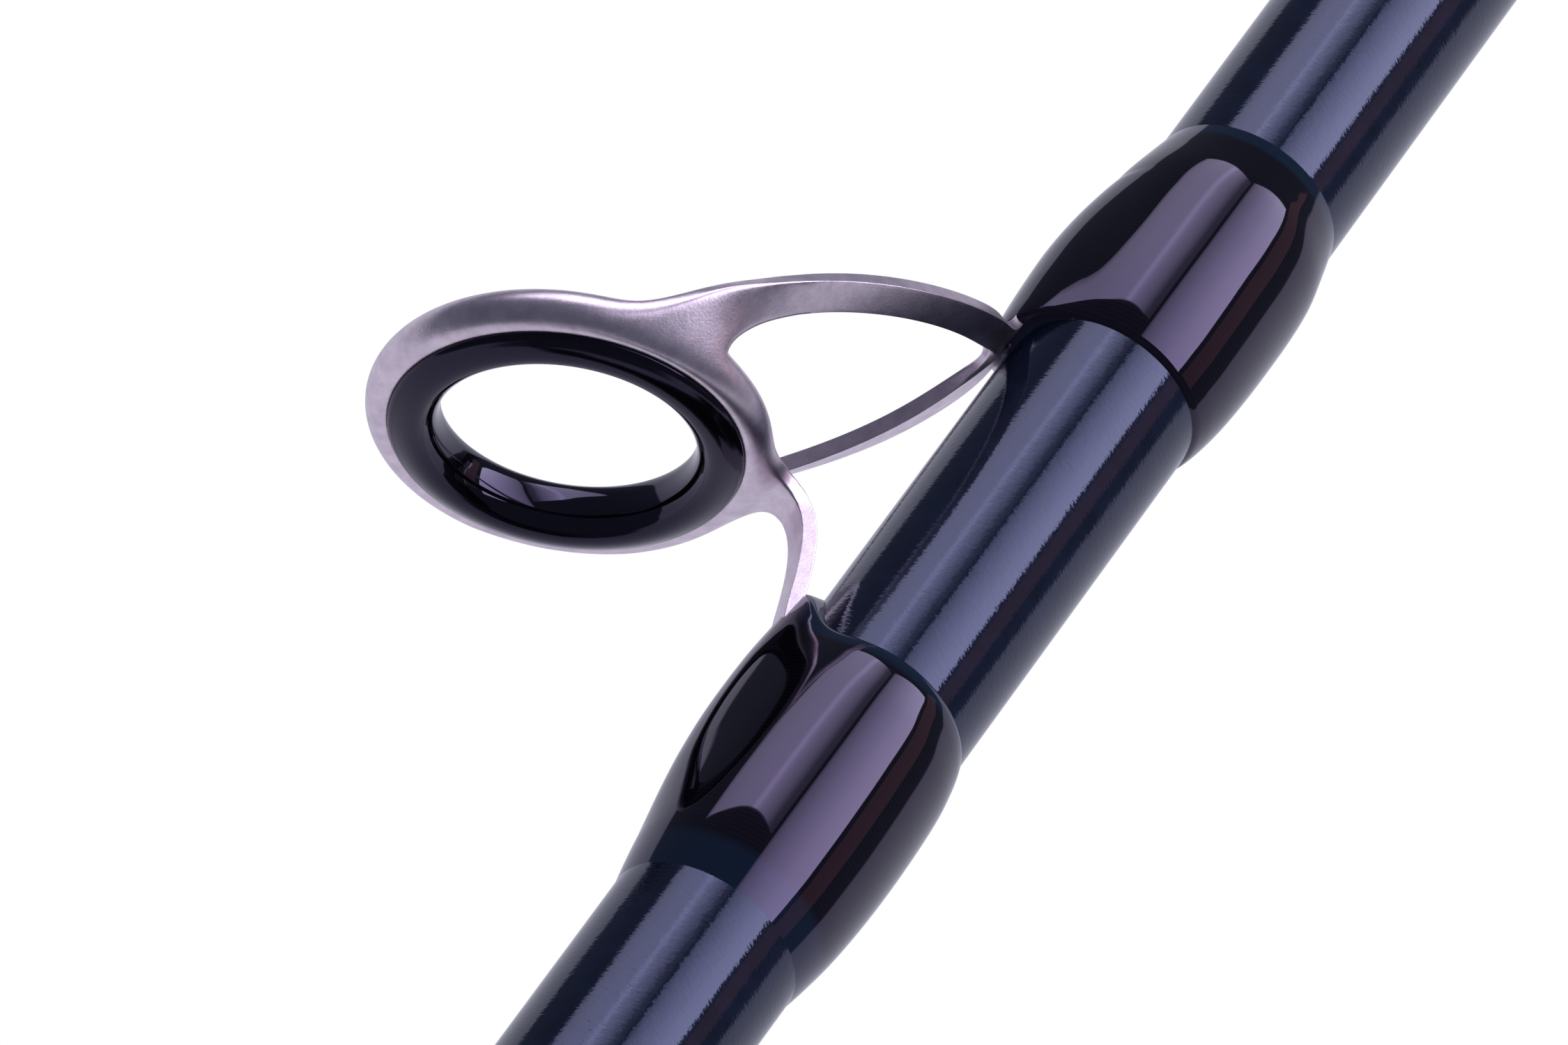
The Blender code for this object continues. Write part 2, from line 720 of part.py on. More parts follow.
def guide_wrap(guide, start, length, direction, outline, entry, entry_width):
    """The wrap over one foot: an outer saddle, and a pocket that clears the blank and the foot."""
    start = start * guide.scale
    length = length * guide.stretch
    entry = entry * guide.scale
    foot_length = FOOT_LENGTH * guide.stretch
    half_width = guide.section * entry_width + FINE_GAP
    sides = ROUND_SIDES if guide.scale == 1 else SMALL_SIDES
    angles = saddle_angles(
        guide.radius_at(start), foot_pocket_top(guide, start, entry, foot_length), half_width, sides
    )
    sections = []
    for share, over_foot, elsewhere in outline:
        x = start + direction * share * length
        radius = guide.radius_at(x)
        elsewhere = max(guide.section * elsewhere, 2 * FINE_GAP)
        top = radius + max(guide.section * over_foot, elsewhere)
        if share < 1:
            top = max(top, foot_pocket_top(guide, x, entry, foot_length) + FINE_GAP)
        width = half_width * (1 - NARROWING * share) + FINE_GAP
        sections.append((x, radius + elsewhere, top, width))
    end = start + direction * length
    pocket_end = entry + direction * (foot_length + FINE_GAP)
    sections.append((end, guide.radius_at(end) + FINE_GAP, guide.radius_at(end), half_width))
    for x in (pocket_end, start):
        top = foot_pocket_top(guide, x, entry, foot_length)
        width = half_width * (1 - NARROWING * abs(x - start) / length)
        sections.append((x, guide.radius_at(x) + FINE_GAP, top, width))
    return closed_loft([saddle_section(*section, angles) for section in sections])


def ceramic_ring(guide):
    """The ceramic insert, turned about X; place() leans it with the hoop."""
    outline = [(along * guide.scale, radius * guide.scale) for radius, along in CERAMIC_OUTLINE]
    return turned(outline, ROUND_SIDES if guide.scale == 1 else SMALL_SIDES)


def build_guide(name, size, x, radius_at, body):
    guide = Guide(name, size, x, radius_at)
    at = Vector((x, 0, 0))
    place(name + "_frame", guide_frame(guide), "guide_steel", body, at)
    place(name + "_ring", ceramic_ring(guide), "guide_ceramic", body, at + guide.centre, RING_LEAN)
    rear = guide_wrap(
        guide,
        REAR_WRAP_START,
        REAR_WRAP_LENGTH,
        -1,
        REAR_WRAP_OUTLINE,
        SIDE_LEG_PATH[-1][0],
        FOOT_ENTRY_HALF_WIDTH,
    )
    place(name + "_rear_wrap", rear, "wrap_epoxy", body, at)
    front = guide_wrap(
        guide,
        FRONT_WRAP_START,
        FRONT_WRAP_LENGTH,
        1,
        FRONT_WRAP_OUTLINE,
        FRONT_LEG_PATH[-1][0],
        FRONT_LEG_HALF_WIDTH,
    )
    place(name + "_front_wrap", front, "wrap_epoxy", body, at)


def rod_between(start, end, radius, sides=10):
    """A round bar from one point to another."""
    bm = bmesh.new()
    span = Vector(end) - Vector(start)
    turn = span.to_track_quat("Z", "Y").to_matrix().to_4x4()
    matrix = Matrix.Translation((Vector(start) + Vector(end)) / 2) @ turn
    bmesh.ops.create_cone(
        bm,
        cap_ends=True,
        segments=sides,
        radius1=radius,
        radius2=radius,
        depth=span.length,
        matrix=matrix,
    )
    return bm


def build_tip_top(body):
    scale = TIP_RING_SIZE / BASE_RING_SIZE
    bore = tip_radius(TIP_TUBE_START) + FINE_GAP
    outer = bore + TIP_TUBE_WALL
    end_plate = TIP_BLANK_END + GAP
    outline = (
        (TIP_TUBE_END, 0),
        (TIP_TUBE_END, outer * 0.8),
        (TIP_TUBE_END - 0.5 * MM, outer),
        (TIP_TUBE_START, outer),
        (TIP_TUBE_START, bore),
        (end_plate, bore),
        (end_plate, 0),
    )
    frame = place("tip_top_frame", turned(outline, SMALL_SIDES), "guide_steel", body)
    hoop_outline = [(along * scale, radius * scale) for radius, along in HOOP_OUTLINE]
    centre = Vector((TIP_RING_X, -TIP_RING_HEIGHT, 0))
    hoop = place("tip_hoop", turned(hoop_outline, SMALL_SIDES), "guide_steel", body, centre, RING_LEAN)
    weld(frame, hoop)
    for name, side in (("tip_strut_left", 1), ("tip_strut_right", -1)):
        high = centre + Vector((-0.7 * MM, 0.6 * MM, side * 4.2 * MM))
        low = Vector((TIP_TUBE_START + 5 * MM, -outer * 0.75, side * outer * 0.6))
        strut = place(name, rod_between(low, high, TIP_STRUT_RADIUS), "guide_steel", body)
        weld(frame, strut)
    ceramic = [(along * scale, radius * scale) for radius, along in CERAMIC_OUTLINE]
    place("tip_top_ring", turned(ceramic, SMALL_SIDES), "guide_ceramic", body, centre, RING_LEAN)
    plain_wrap(
        "tip_top_wrap",
        TIP_TUBE_START - 9 * MM,
        TIP_TUBE_START - GAP,
        tip_radius,
        0.5 * MM,
        body,
    )


def build_keeper(body):
    start = KEEPER_FOOT_START
    end = start + KEEPER_FOOT_LENGTH
    surface = butt_radius(start)
    wire = KEEPER_WIRE_RADIUS
    foot_height = surface + FINE_GAP + wire
    foot = rod_between((start, -foot_height, 0), (end + 2 * MM, -foot_height, 0), wire)
    keeper = place("hook_keeper", foot, "guide_steel", body)
    eye = bmesh.new()
    sections = 20
    wire_sides = 8
    rings = []
    for i in range(sections):
        angle = math.tau * i / sections
        outward = Vector((math.cos(angle), -math.sin(angle), 0))
        middle = outward * KEEPER_EYE_RADIUS
        ring = []
        for j in range(wire_sides):
            turn = math.tau * j / wire_sides
            ring.append(middle + wire * (math.cos(turn) * outward + Vector((0, 0, math.sin(turn)))))
        rings.append([eye.verts.new(point) for point in ring])
    for low, high in zip(rings, rings[1:] + rings[:1]):
        for j in range(wire_sides):
            k = (j + 1) % wire_sides
            eye.faces.new((low[j], low[k], high[k], high[j]))
    centre = Vector((end + 2 * MM, -(surface + FINE_GAP + 2 * wire + KEEPER_EYE_RADIUS), 0))
    weld(keeper, place("keeper_eye", eye, "guide_steel", body, centre))


def build_keeper_wrap(body):
    """The wrap over the keeper's foot, with a pocket that clears the wire."""
    surface = butt_radius(KEEPER_FOOT_START)
    bore = surface + FINE_GAP
    pocket = surface + 2 * KEEPER_WIRE_RADIUS + 2 * FINE_GAP
    width = KEEPER_WIRE_RADIUS + FINE_GAP
    outer = (
        (KEEPER_WRAP_END, 0.45 * MM, 0.4 * MM, width + FINE_GAP),
        (KEEPER_WRAP_END - 2 * MM, 0.75 * MM, 0.7 * MM, width + FINE_GAP),
        (KEEPER_FOOT_START + 2 * MM, 0.75 * MM, 0.6 * MM, width + FINE_GAP),
        (KEEPER_FOOT_START - GAP, 0.75 * MM, 0.4 * MM, width),
    )
    angles = saddle_angles(bore, pocket, width, ROUND_SIDES)
    sections = [(x, surface + rise, pocket + cover, half) for x, rise, cover, half in outer]
    sections.append((KEEPER_WRAP_START, surface + 0.5 * MM, surface + 0.5 * MM, width))
    sections.append((KEEPER_WRAP_START, bore, bore, width))
    sections.append((KEEPER_FOOT_START - 2 * GAP, bore, bore, width))
    sections.append((KEEPER_FOOT_START - GAP, bore, pocket, width))
    sections.append((KEEPER_WRAP_END, bore, pocket, width))
    rings = [saddle_section(*section, angles) for section in sections]
    place("keeper_wrap", closed_loft(rings), "wrap_epoxy", body)


def main():
    clear_scene()
    butt_section = make_empty("butt_section", 0)
    hood_carrier = make_empty("hood_carrier", SLIDING_HOOD_MOUTH, butt_section)
    nut_carrier = make_empty("nut_carrier", SLIDING_HOOD_MOUTH - HOOD_LENGTH, butt_section)
    tip_section = make_empty("tip_section", FERRULE_MOUTH, butt_section)

    build_butt_cap(butt_section)
    build_butt_plug(butt_section)
    build_grips(butt_section)
    build_checks(butt_section)
    build_reel_seat(butt_section)
    build_arbors(butt_section)
    build_hoods(butt_section, hood_carrier)
    build_nut(nut_carrier)
    build_blank(butt_section, tip_section)
    plain_wrap("fore_wrap", FORE_CHECK_END + GAP, FORE_WRAP_END, butt_radius, 0.6 * MM, butt_section)
    build_keeper(butt_section)
    build_keeper_wrap(butt_section)

    build_guide("guide_1", *BUTT_GUIDE, butt_radius, butt_section)
    for index, (size, x) in enumerate(TIP_GUIDES, start=2):
        build_guide(f"guide_{index}", size, x, tip_radius, tip_section)
    build_tip_top(tip_section)


main()
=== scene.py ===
"""Looks of a two-piece spinning rod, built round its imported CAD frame.

The rod lies along +X from its butt cap, and its line guides face -Y. Lengths are in metres;
MM turns millimetres into metres. Each operator builds one group of pieces.
"""

import math

import bmesh
import bpy
from mathutils import Matrix, Vector


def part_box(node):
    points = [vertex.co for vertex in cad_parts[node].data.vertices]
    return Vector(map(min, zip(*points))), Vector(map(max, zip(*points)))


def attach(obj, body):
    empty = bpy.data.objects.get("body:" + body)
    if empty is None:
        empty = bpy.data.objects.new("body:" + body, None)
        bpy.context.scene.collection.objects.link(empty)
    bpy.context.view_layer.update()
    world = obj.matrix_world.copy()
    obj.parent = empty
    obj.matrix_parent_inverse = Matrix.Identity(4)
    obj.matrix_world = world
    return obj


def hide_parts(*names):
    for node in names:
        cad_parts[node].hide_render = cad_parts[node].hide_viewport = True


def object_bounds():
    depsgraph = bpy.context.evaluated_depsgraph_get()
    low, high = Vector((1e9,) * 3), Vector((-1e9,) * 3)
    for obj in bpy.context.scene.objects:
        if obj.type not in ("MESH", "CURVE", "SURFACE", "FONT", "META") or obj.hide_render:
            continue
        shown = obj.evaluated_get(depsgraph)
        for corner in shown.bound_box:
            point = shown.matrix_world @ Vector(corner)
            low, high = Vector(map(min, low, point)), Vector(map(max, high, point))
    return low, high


bl_info = {
    "name": "Spinning rod looks", "version": (1, 0, 0), "blender": (4, 5, 0),
    "location": "View3D > Sidebar > Rod",
    "description": "Builds the visible pieces of a spinning rod, their materials and a studio round them",
    "category": "Object"
}

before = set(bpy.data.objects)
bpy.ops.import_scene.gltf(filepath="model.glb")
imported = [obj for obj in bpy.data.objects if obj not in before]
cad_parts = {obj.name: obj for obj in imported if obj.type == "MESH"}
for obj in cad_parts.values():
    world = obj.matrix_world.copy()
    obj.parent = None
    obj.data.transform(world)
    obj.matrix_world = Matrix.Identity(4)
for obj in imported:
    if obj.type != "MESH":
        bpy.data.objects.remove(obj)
CAD_LOW, CAD_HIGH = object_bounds()

MM = 0.001


def mm(value):
    """Millimetres as metres, through tuples of any depth."""
    return tuple(mm(v) for v in value) if isinstance(value, tuple) else value * MM


BUTT, HOOD, NUT, TIP = "butt_section", "hood", "nut", "tip_section"
SHARP_ANGLE = math.radians(40)
Z_TO_X = (0, math.radians(90), 0)
WELD = 0.0005 * MM
CAGE_WELD = 0.005 * MM
MIRROR_WELD = 0.01 * MM
ROUND_SIDES = 128
SMALL_SIDES = 64
HOOD_SIDES = 160

# The blank is ground finer from the first to the second of these places along the rod.
FINER_FROM, FINER_TO = 0.8, 1.2

# Blank tapers, as on the CAD tubes.
BUTT_TAPER = 0.00276
TIP_SHOULDER = 885 * MM
TIP_SHOULDER_RADIUS = 5.5 * MM
TIP_END_RADIUS = 1.1 * MM
BLANK_WALL = 1.5 * MM
FERRULE_PLAY = 0.2 * MM
BLANK_STEPS = 40

# Handle, as on the CAD solids.
SEAT_RADIUS = 11 * MM
SEAT_BORE = 9.1 * MM
BED_DEPTH = 0.8 * MM
BED_FROM, BED_TO = 42.7 * MM, 113.2 * MM
THREAD_FROM, THREAD_TO = 4.2 * MM, 57.7 * MM
# Ridges over the bed end this far under it.
RIDGE_SINK = 0.1 * MM
HOOD_WALL = 1.3 * MM
NUT_WALL = 2.7 * MM
PLAY = 0.3 * MM

# Line guide of ring size 20; the others are scaled from it. Pairs are radius and place along the ring's axis.
RING_FLANGE_RADIUS = 9.8 * MM
RING_RISE = 16.4 * MM
RING_LEAN = math.radians(22.7)
SECTION_POWER = 0.5
STRETCH_POWER = 0.6
HOOP_HALF_SEGMENTS = 12
HOOP_SECTION_MIDDLE = (10.35 * MM, -1.5 * MM)
HOOP_SECTION = mm(
    (
        (9.55, -0.45), (10.05, -0.1), (10.8, -0.4), (11.15, -1.1), (11.12, -1.75), (10.75, -2.35),
        (10.0, -2.65), (9.55, -2.35)
    )
)
# A subdivided cage shrinks: these bring the hoop's section and its rim back to size.
SECTION_GROWTH = 1.1
RIM_GROWTH = 1.0115
ROOT_FIRST_ROW = 2
ROOT_LAST_ROW = 5
SIDE_LEG_FIRST_SEGMENT = 4
SIDE_LEG_PATH = mm(((-2.4, 14.7, 10.7), (-10.6, 11.9, 12.1), (-17.5, 2.6, 9.4), (-23.1, 0.8, 1.3)))
FRONT_LEG_PATH = mm(((-5.75, 6.95, 0.0), (-7.2, 2.95, 0.0), (-2.9, 2.1, 0.0), (2.4, 0.6, 0.0)))
SIDE_LEG_ACROSS = (Vector((0.37, -0.89, 0.26)), Vector((-1.08, 0.3, 1.15)), Vector((0, 0, 1)))
LEG_STEPS = 9
SIDE_LEG_ROOT_HALF_WIDTH = 2.3 * MM
SIDE_LEG_HALF_WIDTH = 1.0 * MM
FRONT_LEG_ROOT_HALF_WIDTH = 2.3 * MM
FRONT_LEG_HALF_WIDTH = 1.15 * MM
LEG_HALF_THICKNESS = 0.44 * MM
LEG_FLARE_LENGTH = 0.3
CUT_EDGE_CREASE = 0.6
FOOT_LENGTH = 15.5 * MM
FOOT_ENTRY_HALF_WIDTH = 2.4 * MM
FOOT_END_HALF_WIDTH = 0.9 * MM
FOOT_ENTRY_THICKNESS = 0.7 * MM
FOOT_END_THICKNESS = 0.3 * MM
FOOT_LIFT = 0.2 * MM
FOOT_SHARES = (0.0, 0.12, 0.35, 0.65, 1.0)
# From the middle of the guide's ring to where its front wrap starts.
FRONT_WRAP_AHEAD = 3 * MM

# Ceramic ring: its turned outline, from the back of its outside round the face and the bore.
CERAMIC_FACE = mm(
    (
        (9.3, -2.75), (9.3, -0.35), (9.66, -0.33), (9.8, -0.2), (9.8, -0.02), (9.68, 0.14), (9.46, 0.28),
        (9.16, 0.45), (8.8, 0.6), (8.42, 0.67), (8.05, 0.62), (7.72, 0.42)
    )
)
CERAMIC_BORE = mm(
    (
        (7.42, 0.1), (7.22, -0.3), (7.12, -0.8), (7.1, -1.4), (7.16, -2.0), (7.4, -2.5), (7.85, -2.85),
        (8.5, -2.98), (9.1, -2.92)
    )
)

# Epoxied wraps: share of the length from the hoop side, rise over the foot, rise elsewhere.
WRAP_SIDES = 120
WRAP_ROWS = 90
PLAIN_WRAP_ROWS = 40
COVER_FADE = 0.3 * MM
# Share of a margin where the thread starts to show, and over how much of the margin it fades in.
THREAD_START, THREAD_FADE = 0.85, 0.2
# The tongue over the leg dies out along the wrap with this power.
TONGUE_POWER = 6
CROWN_POWER = 0.7
WRAP_SINK = 0.06 * MM
SECTION_BLUR = math.radians(13)
REAR_WRAP = {
    "start": -24.9 * MM, "length": 18.2 * MM, "direction": -1, "margins": (0.05 * MM, 1.3 * MM),
    "tongue": 2.0 * MM, "tongue_spread": math.radians(26),
    "rise": (
        (0.0, 0.0, 0.0), (0.012, 1.0 * MM, 0.18 * MM), (0.03, 1.25 * MM, 0.32 * MM),
        (0.09, 1.42 * MM, 0.56 * MM), (0.2, 1.58 * MM, 0.82 * MM), (0.34, 1.66 * MM, 0.97 * MM),
        (0.5, 1.5 * MM, 1.02 * MM), (0.64, 1.15 * MM, 1.0 * MM), (0.76, 0.72 * MM, 0.86 * MM),
        (0.88, 0.32 * MM, 0.46 * MM), (1.0, 0.0, 0.0)
    )
}
FRONT_WRAP = {
    "start": 2.6 * MM, "length": 19.2 * MM, "direction": 1, "margins": (1.0 * MM, 2.8 * MM),
    "tongue": 4.2 * MM, "tongue_spread": math.radians(27),
    "rise": (
        (0.0, 0.0, 0.0), (0.012, 1.15 * MM, 0.16 * MM), (0.03, 1.35 * MM, 0.3 * MM),
        (0.08, 1.5 * MM, 0.52 * MM), (0.18, 1.72 * MM, 0.78 * MM), (0.34, 1.75 * MM, 0.92 * MM),
        (0.5, 1.52 * MM, 0.94 * MM), (0.64, 1.14 * MM, 0.86 * MM), (0.78, 0.66 * MM, 0.66 * MM),
        (0.9, 0.26 * MM, 0.34 * MM), (1.0, 0.0, 0.0)
    )
}
WRAP_NARROWING = 0.5
GUIDES = ("guide_1", "guide_2", "guide_3", "guide_4", "guide_5", "guide_6")

# Camera axes, and its place from the middle of the first guide's ring on the rod's axis.
CAMERA_RIGHT = (-0.47519827, 0.80648719, 0.35180251)
CAMERA_UP = (-0.62773201, -0.59091461, 0.5067272)
CAMERA_BACK = (0.61655424, 0.01995819, 0.78705943)
CAMERA_FROM_RING = Vector((0.313417, 0.00032, 0.405889))
FLOOR_SEEN = (1.0, 1.0, 1.0)
# Light that the rod gets from the table and the room, and the height of the table's edge in a direction
# of length 1, on the -Y side and on the +Y side. The edge turns from one to the other within
# TABLE_EDGE_TURN of the middle.
TABLE_GLOW = (0.64, 0.64, 0.76)
ROOM_GLOW = (0.09, 0.1, 0.14)
TABLE_EDGE_NEAR = -0.29
TABLE_EDGE_FAR = 0.05
TABLE_EDGE_TURN = 0.35
TABLE_EDGE_BLUR = 0.02
WARM_TINT = "#ffb4a8"
# Softboxes: name, the angles from above towards +Y that it spans, where it starts and ends towards the butt
# in units of the light distance, then (share of the way from its -Y edge, brightness) across it.
SOFTBOXES = (
    (
        "guide_side_softbox", -70, -7.5, 0.48, 1.75,
        (
            (0.0, 0.9), (0.06, 1.9), (0.3, 2.6), (0.5, 2.9), (0.56, 4.2), (0.63, 2.8), (0.8, 1.5),
            (0.9, 0.45), (1.0, 0.3)
        )
    ),
    (
        "far_side_softbox", -4.5, 45, 0.1, 1.75,
        ((0.0, 0.7), (0.06, 1.6), (0.35, 2.9), (0.7, 4.2), (1.0, 4.6))
    ),
    ("warm_bounce_card", 50, 67, 0.2, 1.9, ((0.0, 0.3), (1.0, 0.3)))
)


# ---------------------------------------------------------------- materials


def linear(code):
    """The linear colour of an sRGB hex code."""
    parts = (int(code[i : i + 2], 16) / 255 for i in (1, 3, 5))
    return tuple(p / 12.92 if p <= 0.04045 else ((p + 0.055) / 1.055) ** 2.4 for p in parts)


def add_node(tree, kind, links=None, values=None, **settings):
    """Adds a node; links joins its inputs to other sockets and values sets inputs that stay as they are."""
    made = tree.nodes.new(kind)
    for name, value in settings.items():
        setattr(made, name, value)
    for key, value in (values or {}).items():
        made.inputs[key].default_value = value
    for key, socket in (links or {}).items():
        tree.links.new(socket, made.inputs[key])
    return made


def new_material(name, colour, roughness, metallic=0.0, ior=1.45, tint=None, sheen=0.0):
    """A material with its uniform values set on the shader; returns it with its tree and shader."""
    material = bpy.data.materials.new(name)
    material.use_nodes = True
    tree = material.node_tree
    shader = tree.nodes["Principled BSDF"]
    shader.inputs["Base Color"].default_value = (*linear(colour), 1)
    shader.inputs["Roughness"].default_value = roughness
    shader.inputs["Metallic"].default_value = metallic
    shader.inputs["Sheen Weight"].default_value = sheen
    if metallic == 0:
        shader.inputs["IOR"].default_value = ior
    if tint:
        shader.inputs["Specular Tint"].default_value = (*linear(tint), 1)
    return material, tree, shader


def pattern(tree, kind, size, stretch=(1, 1, 1), output="Fac", **values):
    """A texture on the piece's own coordinates, with lumps about size metres across before the stretch."""
    place = add_node(tree, "ShaderNodeTexCoord")
    space = add_node(tree, "ShaderNodeMapping", {"Vector": place.outputs["Object"]}, {"Scale": stretch})
    values["Scale"] = 1 / size
    return add_node(tree, kind, {"Vector": space.outputs["Vector"]}, values).outputs[output]


def finish(tree, shader, height, depth=0.0, strength=1.0, tones=None, tones_at=(0.35, 0.65), shine=None):
    """Lets a pattern from 0 to 1 raise the surface by depth metres, colour it between two tones, and vary its
    roughness between two values."""
    normal = shader.inputs["Normal"]
    if depth:
        links = {"Height": height}
        if normal.links:
            links["Normal"] = normal.links[0].from_socket
        raised = add_node(tree, "ShaderNodeBump", links, {"Distance": depth, "Strength": strength})
        tree.links.new(raised.outputs["Normal"], normal)
    if tones:
        ramp = add_node(tree, "ShaderNodeValToRGB", {"Fac": height})
        for stop, place, tone in zip(ramp.color_ramp.elements, tones_at, tones):
            stop.position = place
            stop.color = (*linear(tone), 1)
        tree.links.new(ramp.outputs["Color"], shader.inputs["Base Color"])
    if shine:
        varied = add_node(
            tree, "ShaderNodeMapRange", {"Value": height}, {"To Min": shine[0], "To Max": shine[1]}
        )
        tree.links.new(varied.outputs["Result"], shader.inputs["Roughness"])


NOISE = "ShaderNodeTexNoise"


def lacquered_blank():
    # Carbon-fibre tube under navy gloss lacquer: dark, with sharp reflections that its ground
    # and lacquered tape ridges make ragged.
    material, tree, shader = new_material(
        "navy_lacquer_on_carbon", "#0f1626", 0.085, ior=1.6, tint="#c6d0ff"
    )
    finish(tree, shader, pattern(tree, NOISE, 2.6 * MM, (0.35, 1, 1), Detail=1.0), 0.004 * MM)
    # Ridges 0.17 mm apart along the tube and drawn out round it; the thin tip is ground finer.
    ridges = pattern(tree, NOISE, 0.17 * MM, (1, 0.35, 0.35))
    place = add_node(tree, "ShaderNodeTexCoord")
    along = add_node(tree, "ShaderNodeSeparateXYZ", {"Vector": place.outputs["Object"]})
    finer = add_node(
        tree, "ShaderNodeMapRange", {"Value": along.outputs["X"]},
        {"From Min": FINER_FROM, "From Max": FINER_TO, "To Min": 1.0, "To Max": 0.3}
    )
    evened = add_node(tree, "ShaderNodeMath", {0: ridges, 1: finer.outputs["Result"]}, operation="MULTIPLY")
    finish(tree, shader, evened.outputs["Value"], 0.012 * MM)
    finish(tree, shader, pattern(tree, NOISE, 1.4 * MM), tones=("#0d1422", "#121a2c"))
    return material


def epoxied_thread():
    # Black nylon thread under clear rod epoxy: wet gloss, and navy where the epoxy runs past the thread.
    material, tree, shader = new_material("epoxied_black_thread", "#070709", 0.035, ior=1.6, tint="#dccdff")
    cover = add_node(tree, "ShaderNodeAttribute", attribute_name="thread_cover").outputs["Fac"]
    # Thread turns 0.3 mm apart, about twice the real spacing, so that they show at all. A wave is tau / 20
    # of its scale long.
    turns = pattern(tree, "ShaderNodeTexWave", 20 / math.tau * 0.3 * MM, Distortion=0.4, Detail=1.0)
    thread = add_node(tree, "ShaderNodeValToRGB", {"Fac": turns})
    for stop, tone in zip(thread.color_ramp.elements, ("#050506", "#0b0a0f")):
        stop.color = (*linear(tone), 1)
    # Of a Mix node's sockets, 6 and 7 are its two colours, and output 2 is its colour.
    bare = {6: (*linear("#0b1d2c"), 1)}
    mixed = add_node(tree, "ShaderNodeMix", {0: cover, 7: thread.outputs["Color"]}, bare, data_type="RGBA")
    tree.links.new(mixed.outputs[2], shader.inputs["Base Color"])
    flow = pattern(tree, NOISE, 3.4 * MM, (0.6, 1, 1), Detail=0.0)
    finish(tree, shader, flow, 0.012 * MM)
    return material


def tumbled_steel():
    # Stainless steel strip, stamped, formed and tumbled: satin and warm grey, with fine pits.
    material, tree, shader = new_material("tumbled_stainless_steel", "#ddd0e0", 0.4, metallic=1.0)
    mottle = pattern(tree, NOISE, 0.9 * MM, Detail=3.0, Roughness=0.6)
    finish(tree, shader, mottle, tones=("#cfc1cb", "#ecdfe8"), tones_at=(0.25, 0.75))
    grain = pattern(tree, NOISE, 0.16 * MM, Detail=3.0, Roughness=0.65)
    finish(tree, shader, grain, 0.009 * MM, shine=(0.26, 0.42))
    return material


def satin_ceramic():
    # Pressed and sintered black ceramic, lapped on its face: dark and glossy, faintly soft.
    material, tree, shader = new_material("lapped_black_ceramic", "#0a0a0d", 0.1, ior=1.5, tint="#d9ccff")
    finish(tree, shader, pattern(tree, NOISE, 0.12 * MM), 0.001 * MM, shine=(0.07, 0.15))
    return material


def polished_ceramic():
    # The same ceramic, diamond-polished where the line runs: mirror black.
    material, tree, shader = new_material("polished_black_ceramic", "#08080a", 0.03, ior=1.6, tint="#d9ccff")
    finish(tree, shader, pattern(tree, NOISE, 1.8 * MM, Detail=1.0), 0.003 * MM)
    return material


def foam():
    # EVA foam, ground to shape: matt charcoal with open cells, drawn 0.9 mm across so that they show.
    material, tree, shader = new_material("ground_eva_foam", "#1b1b1d", 0.88, sheen=0.12)
    cells = pattern(tree, "ShaderNodeTexVoronoi", 0.9 * MM, output="Distance")
    finish(tree, shader, cells, 0.12 * MM, 0.7)
    finish(tree, shader, pattern(tree, NOISE, 0.35 * MM), 0.05 * MM, 0.6)
    lumps = pattern(tree, NOISE, 1.1 * MM, Detail=4.0, Roughness=0.7)
    finish(tree, shader, lumps, tones=("#141416", "#26262a"))
    return material


def nylon():
    # Glass-filled nylon, moulded: black satin with a fine spark-eroded grain.
    material, tree, shader = new_material("moulded_black_nylon", "#121214", 0.36, ior=1.53)
    finish(tree, shader, pattern(tree, NOISE, 0.3 * MM, Detail=3.0), 0.012 * MM, shine=(0.3, 0.46))
    return material


def brushed_steel():
    # Drawn stainless steel hood, brushed round the rod: fine lines across its length.
    material, tree, shader = new_material("brushed_stainless_steel", "#b4adb6", 0.28, metallic=1.0)
    lines = pattern(tree, NOISE, 0.2 * MM, (1, 0.06, 0.06))
    finish(tree, shader, lines, 0.005 * MM, tones=("#a8a1aa", "#beb7c1"), shine=(0.2, 0.38))
    return material


def anodised_aluminium():
    # Aluminium, turned and anodised gun-metal: fine concentric tool lines.
    material, tree, shader = new_material("anodised_aluminium", "#8d8a95", 0.24, metallic=1.0)
    lines = pattern(tree, NOISE, 0.12 * MM, (1, 0.04, 0.04), Detail=1.0)
    finish(tree, shader, lines, 0.003 * MM, tones=("#85828d", "#96939f"), shine=(0.18, 0.32))
    return material


def rubber():
    # Moulded rubber: matt black with a faint bloom.
    material, tree, shader = new_material("moulded_black_rubber", "#151515", 0.72, ior=1.5)
    finish(tree, shader, pattern(tree, NOISE, 4 * MM, Detail=4.0), tones=("#121213", "#1c1c1d"))
    finish(tree, shader, pattern(tree, NOISE, 0.25 * MM), 0.02 * MM)
    return material


def hidden_foam():
    # Rigid tan foam inside the handle: matt, with fine open cells.
    material, tree, shader = new_material("rigid_tan_foam", "#b59a78", 0.9)
    finish(tree, shader, pattern(tree, NOISE, 0.5 * MM), 0.1 * MM)
    finish(tree, shader, pattern(tree, NOISE, 1.5 * MM), tones=("#a88d6b", "#c0a684"))
    return material


made_materials = {}


def material_named(make):
    """The material that a function makes, made once."""
    if make.__name__ not in made_materials:
        made_materials[make.__name__] = make()
    return made_materials[make.__name__]


# ---------------------------------------------------------------- mesh helpers


def linked(name, data):
    """A new object in the scene."""
    made = bpy.data.objects.new(name, data)
    bpy.context.scene.collection.objects.link(made)
    return made


